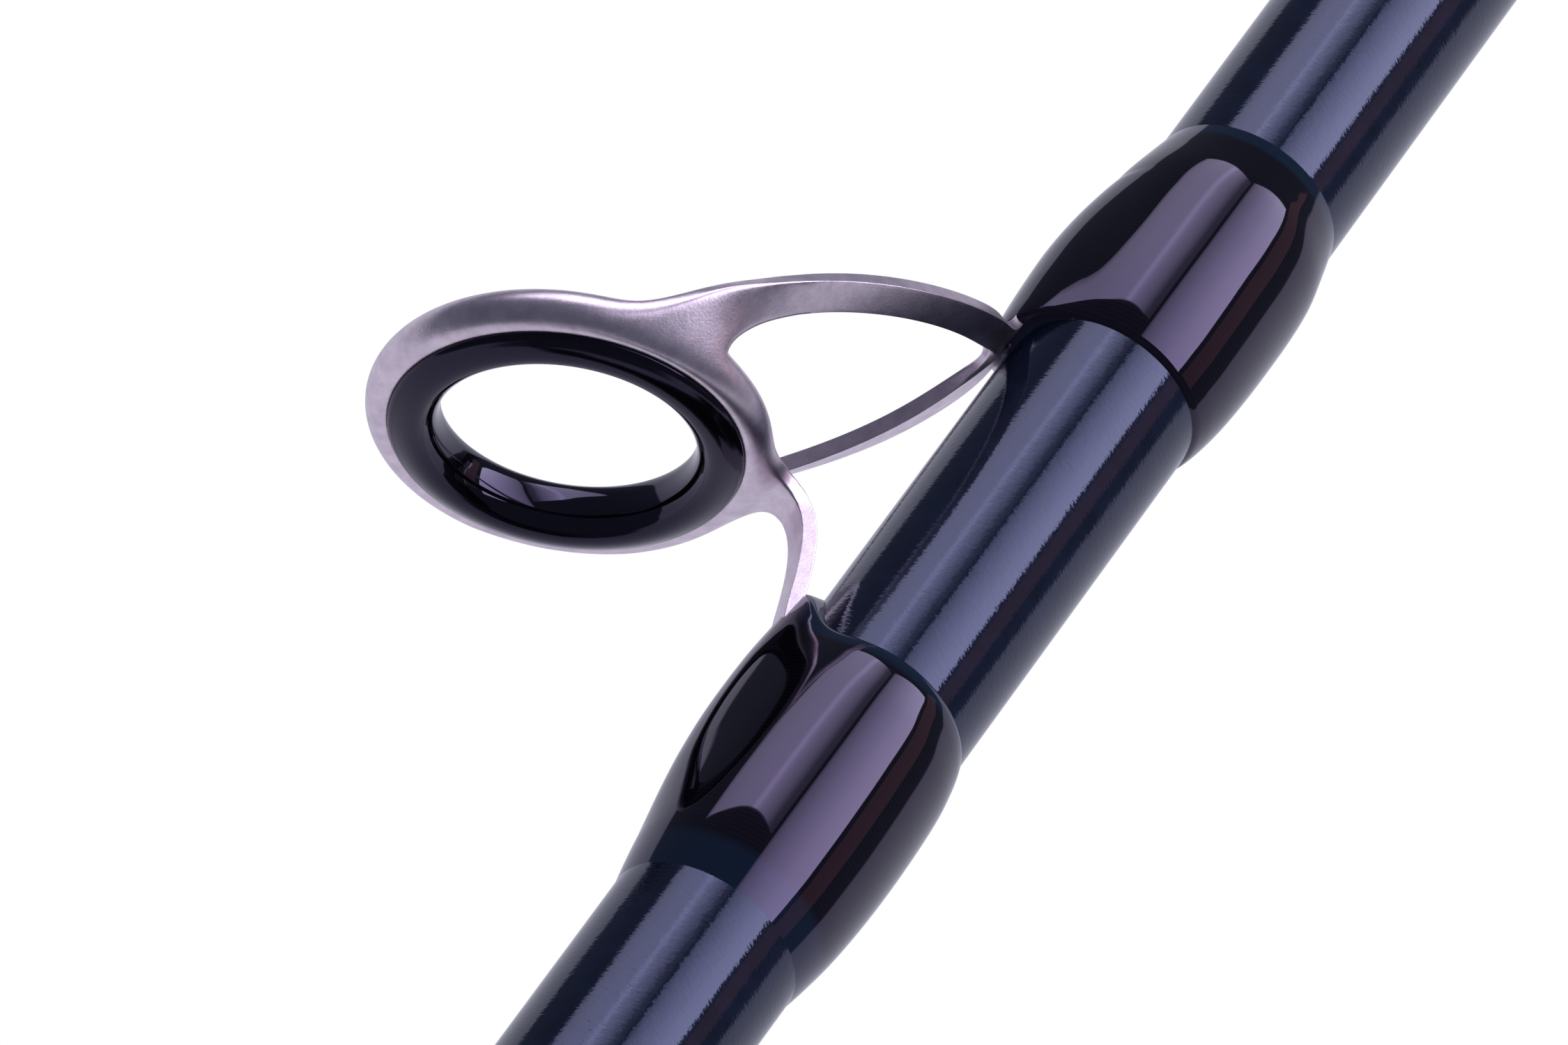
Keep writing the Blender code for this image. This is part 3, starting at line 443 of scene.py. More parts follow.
def as_mesh(bm):
    """A bmesh as a mesh with its faces outward."""
    bmesh.ops.recalc_face_normals(bm, faces=bm.faces)
    mesh = bpy.data.meshes.new("shell")
    bm.to_mesh(mesh)
    bm.free()
    return mesh


def show(name, mesh_source, makers, body, nodes):
    """Links a finished mesh as a piece that rides on a body and stands for CAD nodes."""
    if isinstance(mesh_source, bmesh.types.BMesh):
        bmesh.ops.remove_doubles(mesh_source, verts=mesh_source.verts, dist=WELD)
        mesh_source = as_mesh(mesh_source)
    mesh = mesh_source
    mesh.name = name
    mesh.shade_smooth()
    mesh.set_sharp_from_angle(angle=SHARP_ANGLE)
    for index, make in enumerate(makers):
        if index == len(mesh.materials):
            mesh.materials.append(material_named(make))
        mesh.materials[index] = material_named(make)
    piece = linked(name, mesh)
    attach(piece, body)
    if nodes:
        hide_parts(*nodes)
    return piece


def subdivided(bm, levels):
    """The mesh of a cage after subdivision."""
    carrier = linked("cage", as_mesh(bm))
    modifier = carrier.modifiers.new("Subdivision", "SUBSURF")
    modifier.levels = modifier.render_levels = levels
    return baked(carrier)


def baked(carrier):
    """The plain mesh that an object shows; the object is removed."""
    bpy.context.view_layer.update()
    evaluated = carrier.evaluated_get(bpy.context.evaluated_depsgraph_get())
    mesh = bpy.data.meshes.new_from_object(evaluated)
    carrier.modifiers.clear()
    bpy.data.objects.remove(carrier, do_unlink=True)
    return mesh


def united(meshes):
    """One closed mesh from several closed ones that cross each other."""
    whole = linked("whole", meshes[0])
    others = [linked("other", mesh) for mesh in meshes[1:]]
    for other in others:
        modifier = whole.modifiers.new("Union", "BOOLEAN")
        modifier.operation = "UNION"
        modifier.solver = "EXACT"
        modifier.object = other
    mesh = baked(whole)
    for other in others:
        bpy.data.objects.remove(other, do_unlink=True)
    return mesh


def around(sides):
    """Angles of points spaced evenly round a circle."""
    return [math.tau * i / sides for i in range(sides)]


def eased(rows):
    """Shares from 0 to 1 that lie closer together near both ends."""
    return [0.5 - 0.5 * math.cos(math.pi * row / rows) for row in range(rows + 1)]


def limited(value):
    return min(1.0, max(0.0, value))


def lathe(outline, sides=ROUND_SIDES, at=(0, 0, 0), turn=0.0):
    """A body turned about X from (x, radius) points. It closes on the axis, or back on its first point."""
    bm = bmesh.new()
    loops = []
    for x, radius in outline:
        angles = (0,) if radius == 0 else around(sides)
        loops.append([bm.verts.new(polar(x, radius, angle)) for angle in angles])
    pairs = list(zip(loops, loops[1:]))
    if outline[0][1] > 0:
        pairs.append((loops[-1], loops[0]))
    for low, high in pairs:
        for i in range(sides):
            j = (i + 1) % sides
            corners = [low[i % len(low)], low[j % len(low)], high[j % len(high)], high[i % len(high)]]
            unique = list(dict.fromkeys(corners))
            if len(unique) > 2:
                bm.faces.new(unique)
    bm.transform(Matrix.Translation(at) @ Matrix.Rotation(turn, 4, "Z"))
    return bm


def loft(rings, closed=False):
    """Faces between rings of points, with flat ends, or from the last ring back to the first."""
    bm = bmesh.new()
    loops = [[bm.verts.new(point) for point in ring] for ring in rings]
    pairs = list(zip(loops, loops[1:])) + ([(loops[-1], loops[0])] if closed else [])
    for low, high in pairs:
        for i in range(len(low)):
            j = (i + 1) % len(low)
            bm.faces.new((low[i], low[j], high[j], high[i]))
    if not closed:
        bm.faces.new(loops[0])
        bm.faces.new(loops[-1])
    return bm


def rounded(points, steps=5):
    """An outline of (x, radius, fillet) corners as (x, radius) points, each corner rounded by its fillet."""
    result = []
    last = len(points) - 1
    for i, (x, y, fillet) in enumerate(points):
        corner = Vector((x, y))
        if fillet == 0 or i in (0, last):
            result.append((x, y))
            continue
        to_last = Vector(points[i - 1][:2]) - corner
        to_next = Vector(points[i + 1][:2]) - corner
        reach = min(fillet, 0.48 * to_last.length, 0.48 * to_next.length)
        start = corner + to_last.normalized() * reach
        end = corner + to_next.normalized() * reach
        for step in range(steps + 1):
            t = step / steps
            point = start * (1 - t) ** 2 + corner * 2 * t * (1 - t) + end * t**2
            result.append((point.x, point.y))
    return result


def flowing(points, steps=8):
    """A smooth curve through points of any size, with steps between each two of them."""
    points = [Vector(p) for p in points]
    ends = [points[0] * 2 - points[1]] + points + [points[-1] * 2 - points[-2]]
    result = []
    for i in range(1, len(ends) - 2):
        before, here, there, after = ends[i - 1 : i + 3]
        for step in range(steps):
            t = step / steps
            result.append(
                0.5 * (
                    2 * here + (there - before) * t + (2 * before - 5 * here + 4 * there - after) * t**2
                    + (3 * here - before - 3 * there + after) * t**3
                )
            )
    return [tuple(p) for p in result] + [tuple(points[-1])]


def between(table, share):
    """Values of a table of rows (share, value, ...) at a share, on a smooth curve through the rows."""
    last = len(table) - 1
    i = max(k for k in range(last) if table[k][0] <= share)
    here, there = table[i], table[i + 1]
    t = min(1.0, (share - here[0]) / (there[0] - here[0]))
    before = table[max(0, i - 1)]
    after = table[min(last, i + 2)]
    span = there[0] - here[0]
    values = []
    for k in range(1, len(here)):
        slope_in = span * (there[k] - before[k]) / max(1e-9, there[0] - before[0])
        slope_out = span * (after[k] - here[k]) / max(1e-9, after[0] - here[0])
        values.append(
            (2 * t**3 - 3 * t**2 + 1) * here[k] + (t**3 - 2 * t**2 + t) * slope_in
            + (3 * t**2 - 2 * t**3) * there[k] + (t**3 - t**2) * slope_out
        )
    return values


def saddle_radius(angle, round_radius, top, half_width):
    """Distance from the axis, at an angle from -Y, of the hull of a circle and a flat strip at height top."""
    angle = abs(math.remainder(angle, math.tau))
    if top <= round_radius:
        return round_radius
    corner = math.atan2(half_width, top)
    tangent = corner + math.acos(min(1.0, round_radius / math.hypot(half_width, top)))
    if angle <= corner:
        return max(round_radius, top / math.cos(angle))
    if angle < tangent:
        return max(round_radius, round_radius / math.cos(tangent - angle))
    return round_radius


def soft_saddle_radius(angle, round_radius, top, half_width, blur=SECTION_BLUR):
    """The same distance with its corners rounded off over a blur angle."""
    taps = ((-1.5, 1), (-1, 4), (-0.5, 7), (0, 8), (0.5, 7), (1, 4), (1.5, 1))
    total = sum(weight for _, weight in taps)
    return (
        sum(w * saddle_radius(angle + k * blur, round_radius, top, half_width) for k, w in taps) / total
    )


def polar(x, radius, angle):
    return Vector((x, -radius * math.cos(angle), radius * math.sin(angle)))


def tube_along(path, radius_at, sides=12):
    """A closed tube round a list of points; radius_at takes the share of the way along."""
    rings = []
    side = None
    for i, point in enumerate(path):
        along = (path[min(i + 1, len(path) - 1)] - path[max(i - 1, 0)]).normalized()
        if side is None:
            side = along.orthogonal().normalized()
        side = (side - along * along.dot(side)).normalized()
        up = along.cross(side)
        radius = radius_at(i / (len(path) - 1))
        rings.append(
            [point + radius * (math.cos(angle) * side + math.sin(angle) * up) for angle in around(sides)]
        )
    return loft(rings)


# ---------------------------------------------------------------- geometry nodes


def node_group(name, inputs):
    """A Geometry Nodes tree with named inputs, given as (label, socket type, default), and their sockets."""
    tree = bpy.data.node_groups.new(name, "GeometryNodeTree")
    for label, kind, value in inputs:
        socket = tree.interface.new_socket(label, in_out="INPUT", socket_type=kind)
        if value is not None:
            socket.default_value = value
    tree.interface.new_socket("Geometry", in_out="OUTPUT", socket_type="NodeSocketGeometry")
    return tree, tree.nodes.new("NodeGroupInput").outputs


def close_group(tree, geometry, material):
    """Ends a tree in Realize Instances and Set Material."""
    real = add_node(tree, "GeometryNodeRealizeInstances", {"Geometry": geometry})
    painted = add_node(
        tree, "GeometryNodeSetMaterial", {"Geometry": real.outputs["Geometry"], "Material": material}
    )
    result = tree.nodes.new("NodeGroupOutput")
    tree.links.new(painted.outputs["Geometry"], result.inputs["Geometry"])


def mesh_from_nodes(tree, values):
    """The mesh that a tree makes, with its inputs set by their labels."""
    carrier = linked("carrier", bpy.data.meshes.new("carrier"))
    modifier = carrier.modifiers.new("Nodes", "NODES")
    modifier.node_group = tree
    for item in tree.interface.items_tree:
        if item.item_type == "SOCKET" and item.in_out == "INPUT" and item.name in values:
            modifier[item.identifier] = values[item.name]
    return baked(carrier)


def thread_tree():
    """A round-crested screw thread along X from x = 0."""
    tree, given = node_group(
        "screw_thread",
        (
            ("Turns", "NodeSocketFloat", 26.0), ("Pitch", "NodeSocketFloat", 2 * MM),
            ("Middle radius", "NodeSocketFloat", 10.5 * MM), ("Ridge radius", "NodeSocketFloat", 0.5 * MM),
            ("Bed height", "NodeSocketFloat", 10.2 * MM), ("Material", "NodeSocketMaterial", None)
        )
    )
    height = add_node(
        tree, "ShaderNodeMath", {0: given["Turns"], 1: given["Pitch"]}, operation="MULTIPLY"
    ).outputs[0]
    spiral = add_node(
        tree, "GeometryNodeCurveSpiral",
        {
            "Rotations": given["Turns"], "Start Radius": given["Middle radius"],
            "End Radius": given["Middle radius"], "Height": height
        },
        {"Resolution": 64}
    )
    upright = add_node(tree, "GeometryNodeSetCurveNormal", {"Curve": spiral.outputs["Curve"]}, mode="Z_UP")
    profile = add_node(
        tree, "GeometryNodeCurvePrimitiveCircle", {"Radius": given["Ridge radius"]}, {"Resolution": 10}
    )
    swept = add_node(
        tree, "GeometryNodeCurveToMesh",
        {"Curve": upright.outputs["Curve"], "Profile Curve": profile.outputs["Curve"]}, {"Fill Caps": True}
    )
    laid = add_node(
        tree, "GeometryNodeTransform", {"Geometry": swept.outputs["Mesh"]}, {"Rotation": Z_TO_X}
    )
    place = add_node(tree, "GeometryNodeInputPosition").outputs["Position"]
    parts = add_node(tree, "ShaderNodeSeparateXYZ", {"Vector": place})
    lowest = add_node(tree, "ShaderNodeMath", {0: given["Bed height"]}, {1: -1.0}, operation="MULTIPLY")
    kept = add_node(
        tree, "ShaderNodeMath", {0: parts.outputs["Y"], 1: lowest.outputs[0]}, operation="MAXIMUM"
    )
    moved = add_node(
        tree, "ShaderNodeCombineXYZ",
        {"X": parts.outputs["X"], "Y": kept.outputs[0], "Z": parts.outputs["Z"]}
    )
    flat = add_node(
        tree, "GeometryNodeSetPosition",
        {"Geometry": laid.outputs["Geometry"], "Position": moved.outputs["Vector"]}
    )
    close_group(tree, flat.outputs["Geometry"], given["Material"])
    return tree


def ribs_tree():
    """Rounded ribs spaced evenly round X, centred on x = 0."""
    tree, given = node_group(
        "grip_ribs",
        (
            ("Count", "NodeSocketInt", 30), ("Ring radius", "NodeSocketFloat", 13 * MM),
            ("Rib radius", "NodeSocketFloat", 0.9 * MM), ("Rib length", "NodeSocketFloat", 9 * MM),
            ("Material", "NodeSocketMaterial", None)
        )
    )
    circle = add_node(
        tree, "GeometryNodeMeshCircle", {"Vertices": given["Count"], "Radius": given["Ring radius"]}
    )
    ball = add_node(
        tree, "GeometryNodeMeshUVSphere", {"Radius": given["Rib radius"]}, {"Segments": 10, "Rings": 9}
    )
    stretch = add_node(
        tree, "ShaderNodeMath", {0: given["Rib length"], 1: given["Rib radius"]}, operation="DIVIDE"
    )
    half = add_node(tree, "ShaderNodeMath", {0: stretch.outputs[0]}, {1: 0.5}, operation="MULTIPLY")
    scale = add_node(tree, "ShaderNodeCombineXYZ", {"Z": half.outputs[0]}, {"X": 1.0, "Y": 1.0})
    rib = add_node(
        tree, "GeometryNodeTransform", {"Geometry": ball.outputs["Mesh"], "Scale": scale.outputs["Vector"]}
    )
    placed = add_node(
        tree, "GeometryNodeInstanceOnPoints",
        {"Points": circle.outputs["Mesh"], "Instance": rib.outputs["Geometry"]}
    )
    laid = add_node(
        tree, "GeometryNodeTransform", {"Geometry": placed.outputs["Instances"]}, {"Rotation": Z_TO_X}
    )
    close_group(tree, laid.outputs["Geometry"], given["Material"])
    return tree


# ---------------------------------------------------------------- sizes from the frame


def span(node):
    """Where a node starts and ends along X."""
    low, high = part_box(node)
    return low.x, high.x


def half_height(node):
    """Largest Z of a turned node, which is its radius."""
    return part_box(node)[1].z


BUTT_START, BUTT_END = span("butt_blank")
BUTT_START_RADIUS = half_height("butt_blank")
FERRULE_MOUTH, TIP_BLANK_END = span("tip_blank")
FERRULE_RADIUS = half_height("tip_blank")


def butt_radius(x):
    """Outside radius of the butt section's blank."""
    return BUTT_START_RADIUS - BUTT_TAPER * (x - BUTT_START)


def tip_radius(x):
    """Outside radius of the tip section's blank ahead of its ferrule."""
    share = (x - TIP_SHOULDER) / (TIP_BLANK_END - TIP_SHOULDER)
    return TIP_SHOULDER_RADIUS + share * (TIP_END_RADIUS - TIP_SHOULDER_RADIUS)


# ---------------------------------------------------------------- line guides


def bezier(points, share):
    """A point of a cubic curve and the direction along it."""
    a, b, c, d = points
    rest = 1 - share
    point = rest**3 * a + 3 * rest**2 * share * b + 3 * rest * share**2 * c + share**3 * d
    slope = rest**2 * (b - a) + 2 * rest * share * (c - b) + share**2 * (d - c)
    return point, slope.normalized()


class Guide:
    """One line guide: its scale and place come from its CAD ring and front wrap."""

    def __init__(self, name):
        self.name = name
        self.scale = half_height(name + "_ring") / RING_FLANGE_RADIUS
        self.section = self.scale**SECTION_POWER
        self.stretch = self.scale**STRETCH_POWER
        self.x = span(name + "_front_wrap")[0] - FRONT_WRAP_AHEAD * self.scale
        self.body = BUTT if name == "guide_1" else TIP
        self.blank_radius = butt_radius if name == "guide_1" else tip_radius
        self.out = Vector((math.sin(RING_LEAN), -math.cos(RING_LEAN), 0))
        self.normal = Vector((math.cos(RING_LEAN), math.sin(RING_LEAN), 0))
        self.centre = Vector((self.x, -self.radius_at(0) - RING_RISE * self.scale, 0))
        self.fine = name == "guide_1"

    def radius_at(self, along):
        return self.blank_radius(self.x + along)

    def hoop_point(self, angle, radius, along):
        """A point of the hoop: angle is from the side nearest the blank, round towards +Z."""
        direction = Vector((0, 0, math.sin(angle))) - math.cos(angle) * self.out
        return self.centre + self.scale * (radius * direction + along * self.normal)

    def path(self, points):
        """A leg's path from offsets over the blank's surface."""
        surface = self.radius_at(0)
        return [
            Vector((self.x + self.scale * x, -(surface + self.scale * height), self.scale * side))
            for x, height, side in points
        ]

    def foot_thickness(self, share):
        return self.section * (FOOT_ENTRY_THICKNESS + (FOOT_END_THICKNESS - FOOT_ENTRY_THICKNESS) * share)


def strap(guide, path, across_at, root_width, width, columns, edge_rows):
    """Cross-sections of a leg: across its front, down its edge, back across and up the other edge."""
    sections = []
    for step in range(1, LEG_STEPS + 1):
        share = step / (LEG_STEPS + 1)
        point, along = bezier(path, share)
        across = across_at(share)
        across = (across - along * along.dot(across)).normalized()
        face = along.cross(across)
        flare = max(0.0, 1 - share / LEG_FLARE_LENGTH)
        half = guide.section * (width + (root_width - width) * flare**2)
        depth = guide.section * LEG_HALF_THICKNESS * (1 + 0.5 * flare)
        sections.append(
            [point + across * half * c + face * depth * d for c, d in outline_of(columns, edge_rows)]
        )
    return sections


def outline_of(columns, edge_rows):
    """(across, depth) pairs round a strap's section."""
    front = [(c, 1) for c in columns]
    outer = [(columns[-1], d) for d in edge_rows]
    back = [(c, -1) for c in reversed(columns)]
    inner = [] if columns[0] == 0 else [(columns[0], -d) for d in edge_rows]
    return front + outer + back + inner


def foot_sections(guide, start, direction, entry_width, columns, edge_rows):
    """Cross-sections of a foot that lies on the blank, from its entry under the wrap to its end."""
    sections = []
    for share in FOOT_SHARES:
        x = start + direction * share * FOOT_LENGTH * guide.stretch
        half = guide.section * (entry_width + (FOOT_END_HALF_WIDTH - entry_width) * share)
        thickness = guide.foot_thickness(share)
        height = guide.radius_at(x) + FOOT_LIFT + thickness / 2
        facing = -1 if direction > 0 else 1
        sections.append(
            [
                Vector((guide.x + x, -height + facing * d * thickness / 2, half * c))
                for c, d in outline_of(columns, edge_rows)
            ]
        )
    return sections


def bridge(bm, loops, open_at, open_from, crease, corners):
    """Faces between a leg's loops; from open_from on, the sides in open_at lie on the mirror plane."""
    for index, (low, high) in enumerate(zip(loops, loops[1:])):
        count = len(low)
        for i in range(count):
            if index >= open_from and i in open_at:
                continue
            j = (i + 1) % count
            bm.faces.new((low[i], low[j], high[j], high[i]))
        for i in corners:
            edge = bm.edges.get((low[i], high[i]))
            if edge:
                edge[crease] = CUT_EDGE_CREASE * min(1.0, index / 3)
    bm.faces.new(loops[-1])


def guide_cage(guide):
    """The stamped frame as a cage: half a hoop, one side leg and half the front leg, mirrored across Z."""
    bm = bmesh.new()
    crease = bm.edges.layers.float.new("crease_edge")
    middle_radius, middle_along = HOOP_SECTION_MIDDLE
    section = [
        (
            RIM_GROWTH * (middle_radius + SECTION_GROWTH * (radius - middle_radius)),
            middle_along + SECTION_GROWTH * (along - middle_along)
        )
        for radius, along in HOOP_SECTION
    ]
    rows = len(section)
    hoop = [
        [
            bm.verts.new(guide.hoop_point(math.pi * k / HOOP_HALF_SEGMENTS, radius, along))
            for radius, along in section
        ]
        for k in range(HOOP_HALF_SEGMENTS + 1)
    ]
    first = SIDE_LEG_FIRST_SEGMENT
    root_rows = range(ROOT_FIRST_ROW, ROOT_LAST_ROW)
    for k in range(HOOP_HALF_SEGMENTS):
        for p in range(rows):
            if p in root_rows and k in (0, first, first + 1):
                continue
            q = (p + 1) % rows
            bm.faces.new((hoop[k][p], hoop[k][q], hoop[k + 1][q], hoop[k + 1][p]))

    def side_across(share):
        a, b, c = SIDE_LEG_ACROSS
        return (1 - share) ** 2 * a + 2 * share * (1 - share) * b + share**2 * c

    edge_rows = (1 / 3, -1 / 3)
    side = strap(
        guide, guide.path(SIDE_LEG_PATH), side_across, SIDE_LEG_ROOT_HALF_WIDTH, SIDE_LEG_HALF_WIDTH,
        (-1, 0, 1), edge_rows
    )
    # At the foot the inner edge lies on the mirror plane, so it keeps its two middle points.
    for section_points in foot_sections(
        guide, SIDE_LEG_PATH[-1][0] * guide.scale, -1, FOOT_ENTRY_HALF_WIDTH, (0, 0.5, 1), edge_rows
    ):
        front, back = section_points[0], section_points[-1]
        inner = [back.lerp(front, 1 / 3), back.lerp(front, 2 / 3)]
        side.append(section_points + inner)
    low, high = ROOT_FIRST_ROW, ROOT_LAST_ROW
    root = [hoop[first + i][low] for i in range(3)]
    root += [hoop[first + 2][p] for p in range(low + 1, high)]
    root += [hoop[first + i][high] for i in (2, 1, 0)]
    root += [hoop[first][p] for p in range(high - 1, low, -1)]
    loops = [root] + [[bm.verts.new(point) for point in points] for points in side]
    bridge(bm, loops, (7, 8, 9), LEG_STEPS + 1, crease, (0, 2, 5, 7))

    front = strap(
        guide, guide.path(FRONT_LEG_PATH), lambda share: Vector((0, 0, 1)), FRONT_LEG_ROOT_HALF_WIDTH,
        FRONT_LEG_HALF_WIDTH, (0, 1), edge_rows
    )
    front += foot_sections(
        guide, FRONT_LEG_PATH[-1][0] * guide.scale, 1, FRONT_LEG_HALF_WIDTH, (0, 1), edge_rows
    )
    root = [hoop[0][low]] + [hoop[1][p] for p in range(low, high + 1)] + [hoop[0][high]]
    loops = [root] + [[bm.verts.new(point) for point in points] for points in front]
    bridge(bm, loops, (5,), 0, crease, (1, 4))

    loose = [v for v in bm.verts if not v.link_faces]
    bmesh.ops.delete(bm, geom=loose, context="VERTS")
    everything = bm.verts[:] + bm.edges[:] + bm.faces[:]
    bmesh.ops.mirror(bm, geom=everything, matrix=Matrix.Identity(4), merge_dist=MIRROR_WELD, axis="Z")
    bmesh.ops.remove_doubles(bm, verts=bm.verts, dist=CAGE_WELD)
    return bm


def ceramic_ring(scale, sides, centre):
    """The turned ring, with its polished bore in the second material."""
    face = flowing(CERAMIC_FACE[2:], 5)
    bore = flowing((CERAMIC_FACE[-1], *CERAMIC_BORE), 5)[1:]
    points = [*CERAMIC_FACE[:2], *face, *bore]
    bm = lathe([(along * scale, radius * scale) for radius, along in points], sides, centre, RING_LEAN)
    for index, each in enumerate(bm.faces):
        each.material_index = int(index // sides > len(face))
    return bm


def wrap_shell(guide, wrap, entry_width):
    """The epoxied wrap over one foot: a crowned saddle that feathers out on the blank."""
    start = wrap["start"] * guide.scale
    length = wrap["length"] * guide.stretch
    direction = wrap["direction"]
    rows = WRAP_ROWS if guide.fine else WRAP_ROWS // 2
    sides = WRAP_SIDES if guide.fine else WRAP_SIDES // 2
    half_width = guide.section * entry_width
    margins = [guide.section * margin / length for margin in wrap["margins"]]
    rings, covers = [], []
    for share in eased(rows):
        over_foot, elsewhere = between(wrap["rise"], share)
        ring = []
        for angle in around(sides):
            spread = math.remainder(angle, math.tau) / wrap["tongue_spread"]
            tongue = wrap["tongue"] * guide.scale * math.exp(-(spread**2)) * (1 - share) ** TONGUE_POWER
            along = start + direction * (share * length - tongue)
            surface = guide.radius_at(along)
            width = half_width * (1 - WRAP_NARROWING * share) + 0.2 * MM
            radius = soft_saddle_radius(
                angle, surface + guide.section * elsewhere, surface + guide.section * over_foot, width
            )
            ring.append(polar(guide.x + along, radius - WRAP_SINK, angle))
        rings.append(ring)
        into = min(share / margins[0], (1 - share) / margins[1])
        covers.append(limited((into - THREAD_START) / THREAD_FADE))
    for share in (0.97, 0.5, 0.03):
        along = start + direction * share * length
        inside = guide.radius_at(along) - 3 * WRAP_SINK
        rings.append([polar(guide.x + along, inside, angle) for angle in around(sides)])
        covers.append(0.0)
    return with_cover(loft(rings, closed=True), covers, sides)


def plain_wrap(node, radius_at, sides=SMALL_SIDES):
    """An epoxied wrap with no foot under it, in a CAD wrap's place on a blank of radius_at(x)."""
    start, end = span(node)
    rise = half_height(node) - max(radius_at(start), radius_at(end)) - 0.08 * MM
    length = end - start
    outline, covers = [], []
    for share in eased(PLAIN_WRAP_ROWS):
        from_end = min(share, 1 - share) * length
        crown = math.sin(min(1.0, from_end / (0.3 * length)) * math.pi / 2) ** CROWN_POWER
        x = start + share * length
        outline.append((x, radius_at(x) - WRAP_SINK + rise * crown))
        covers.append(limited((from_end - 1.1 * MM) / COVER_FADE))
    for x in (end - 0.5 * MM, start + 0.5 * MM):
        outline.append((x, radius_at(x) - 3 * WRAP_SINK))
        covers.append(0.0)
    return with_cover(lathe(outline, sides), covers, sides)


def with_cover(bm, covers, sides):
    """Writes the share of thread under the epoxy, one value for each ring of points."""
    layer = bm.verts.layers.float.new("thread_cover")
    bm.verts.ensure_lookup_table()
    for index, vert in enumerate(bm.verts):
        vert[layer] = covers[index // sides]
    return bm


# ---------------------------------------------------------------- settings


class RodGuideSettings(bpy.types.PropertyGroup):
    """Sizes of the line guides."""

    frame_detail: bpy.props.IntProperty(
        name="Frame detail", description="Subdivision levels of the first guide's frame", default=3, min=1,
        max=4
    )
    small_frame_detail: bpy.props.IntProperty(
        name="Small frame detail", description="Subdivision levels of the other guides", default=2, min=1,
        max=3
    )


class RodHandleSettings(bpy.types.PropertyGroup):
    """Sizes of the handle's pieces."""

    thread_pitch: bpy.props.FloatProperty(
        name="Thread pitch", description="Distance between turns of the seat's thread", default=2 * MM,
        unit="LENGTH"
    )
    thread_ridge: bpy.props.FloatProperty(
        name="Thread ridge", description="Radius of the thread's round crest", default=0.6 * MM,
        unit="LENGTH"
    )
    rib_count: bpy.props.IntProperty(name="Ribs", description="Ribs round the locking nut", default=28, min=6)
    rib_radius: bpy.props.FloatProperty(
        name="Rib radius", description="Radius of one rib of the locking nut", default=0.95 * MM,
        unit="LENGTH"
    )


class RodStudioSettings(bpy.types.PropertyGroup):
    """Camera and light."""

    focal_length: bpy.props.FloatProperty(
        name="Focal length", description="Camera lens in millimetres on a 36 mm sensor", default=216.6
    )
    floor_size: bpy.props.FloatProperty(
        name="Floor size", description="Width of the floor", default=60.0, unit="LENGTH"
    )
    light_distance: bpy.props.FloatProperty(
        name="Light distance", description="From the rod to each softbox", default=0.6, unit="LENGTH"
    )
    light_tint: bpy.props.FloatVectorProperty(
        name="Light tint", description="Colour of the softboxes", subtype="COLOR", size=3,
        default=linear("#efeaff"), min=0, max=1
    )


# ---------------------------------------------------------------- operators


class ROD_OT_blanks(bpy.types.Operator):
    """Build both sections of the lacquered blank."""

    bl_idname = "rod.blanks"
    bl_label = "Blanks"

    def execute(self, context):
        start, end = BUTT_START, BUTT_END
        bore = butt_radius(end) - BLANK_WALL
        outside = [start + (end - start) * i / BLANK_STEPS for i in range(1, BLANK_STEPS)]
        butt = [(start, butt_radius(start) - BLANK_WALL), (start, butt_radius(start) - 0.2 * MM)]
        butt += [(x, butt_radius(x)) for x in outside]
        butt += [(end - 0.4 * MM, butt_radius(end)), (end, butt_radius(end) - 0.3 * MM), (end, bore)]
        show("butt_blank_tube", lathe(butt), [lacquered_blank], BUTT, ["butt_blank"])

        mouth, end = FERRULE_MOUTH, TIP_BLANK_END
        socket = butt_radius(mouth) + FERRULE_PLAY
        deep = BUTT_END + 2 * MM
        floor = butt_radius(deep) + FERRULE_PLAY
        ferrule = rounded(
            (
                (mouth, socket, 0), (mouth, FERRULE_RADIUS, 0.4 * MM),
                (mouth + 30 * MM, FERRULE_RADIUS - 0.1 * MM, 12 * MM),
                (TIP_SHOULDER, TIP_SHOULDER_RADIUS, 14 * MM),
                (TIP_SHOULDER + 40 * MM, tip_radius(TIP_SHOULDER + 40 * MM), 0)
            ),
            10
        )
        first = TIP_SHOULDER + 40 * MM
        taper = [first + (end - first) * i / BLANK_STEPS for i in range(1, BLANK_STEPS + 1)]
        tip = ferrule + [(x, tip_radius(x)) for x in taper]
        tip += [(end, TIP_END_RADIUS * 0.35), (deep, floor - 1.2 * MM), (deep, floor)]
        show("tip_blank_tube", lathe(tip), [lacquered_blank], TIP, ["tip_blank"])
        return {"FINISHED"}


class ROD_OT_guides(bpy.types.Operator):
    """Build the guides' stamped frames and ceramic rings."""

    bl_idname = "rod.guides"
    bl_label = "Line guides"

    def execute(self, context):
        sizes = context.scene.rod_guides
        for name in GUIDES:
            guide = Guide(name)
            levels = sizes.frame_detail if guide.fine else sizes.small_frame_detail
            mesh = subdivided(guide_cage(guide), levels)
            show(name + "_strap", mesh, [tumbled_steel], guide.body, [name + "_frame"])
            ring = ceramic_ring(guide.scale, ROUND_SIDES if guide.fine else SMALL_SIDES, guide.centre)
            show(
                name + "_insert", ring, [satin_ceramic, polished_ceramic], guide.body, [name + "_ring"],
            )
        return {"FINISHED"}


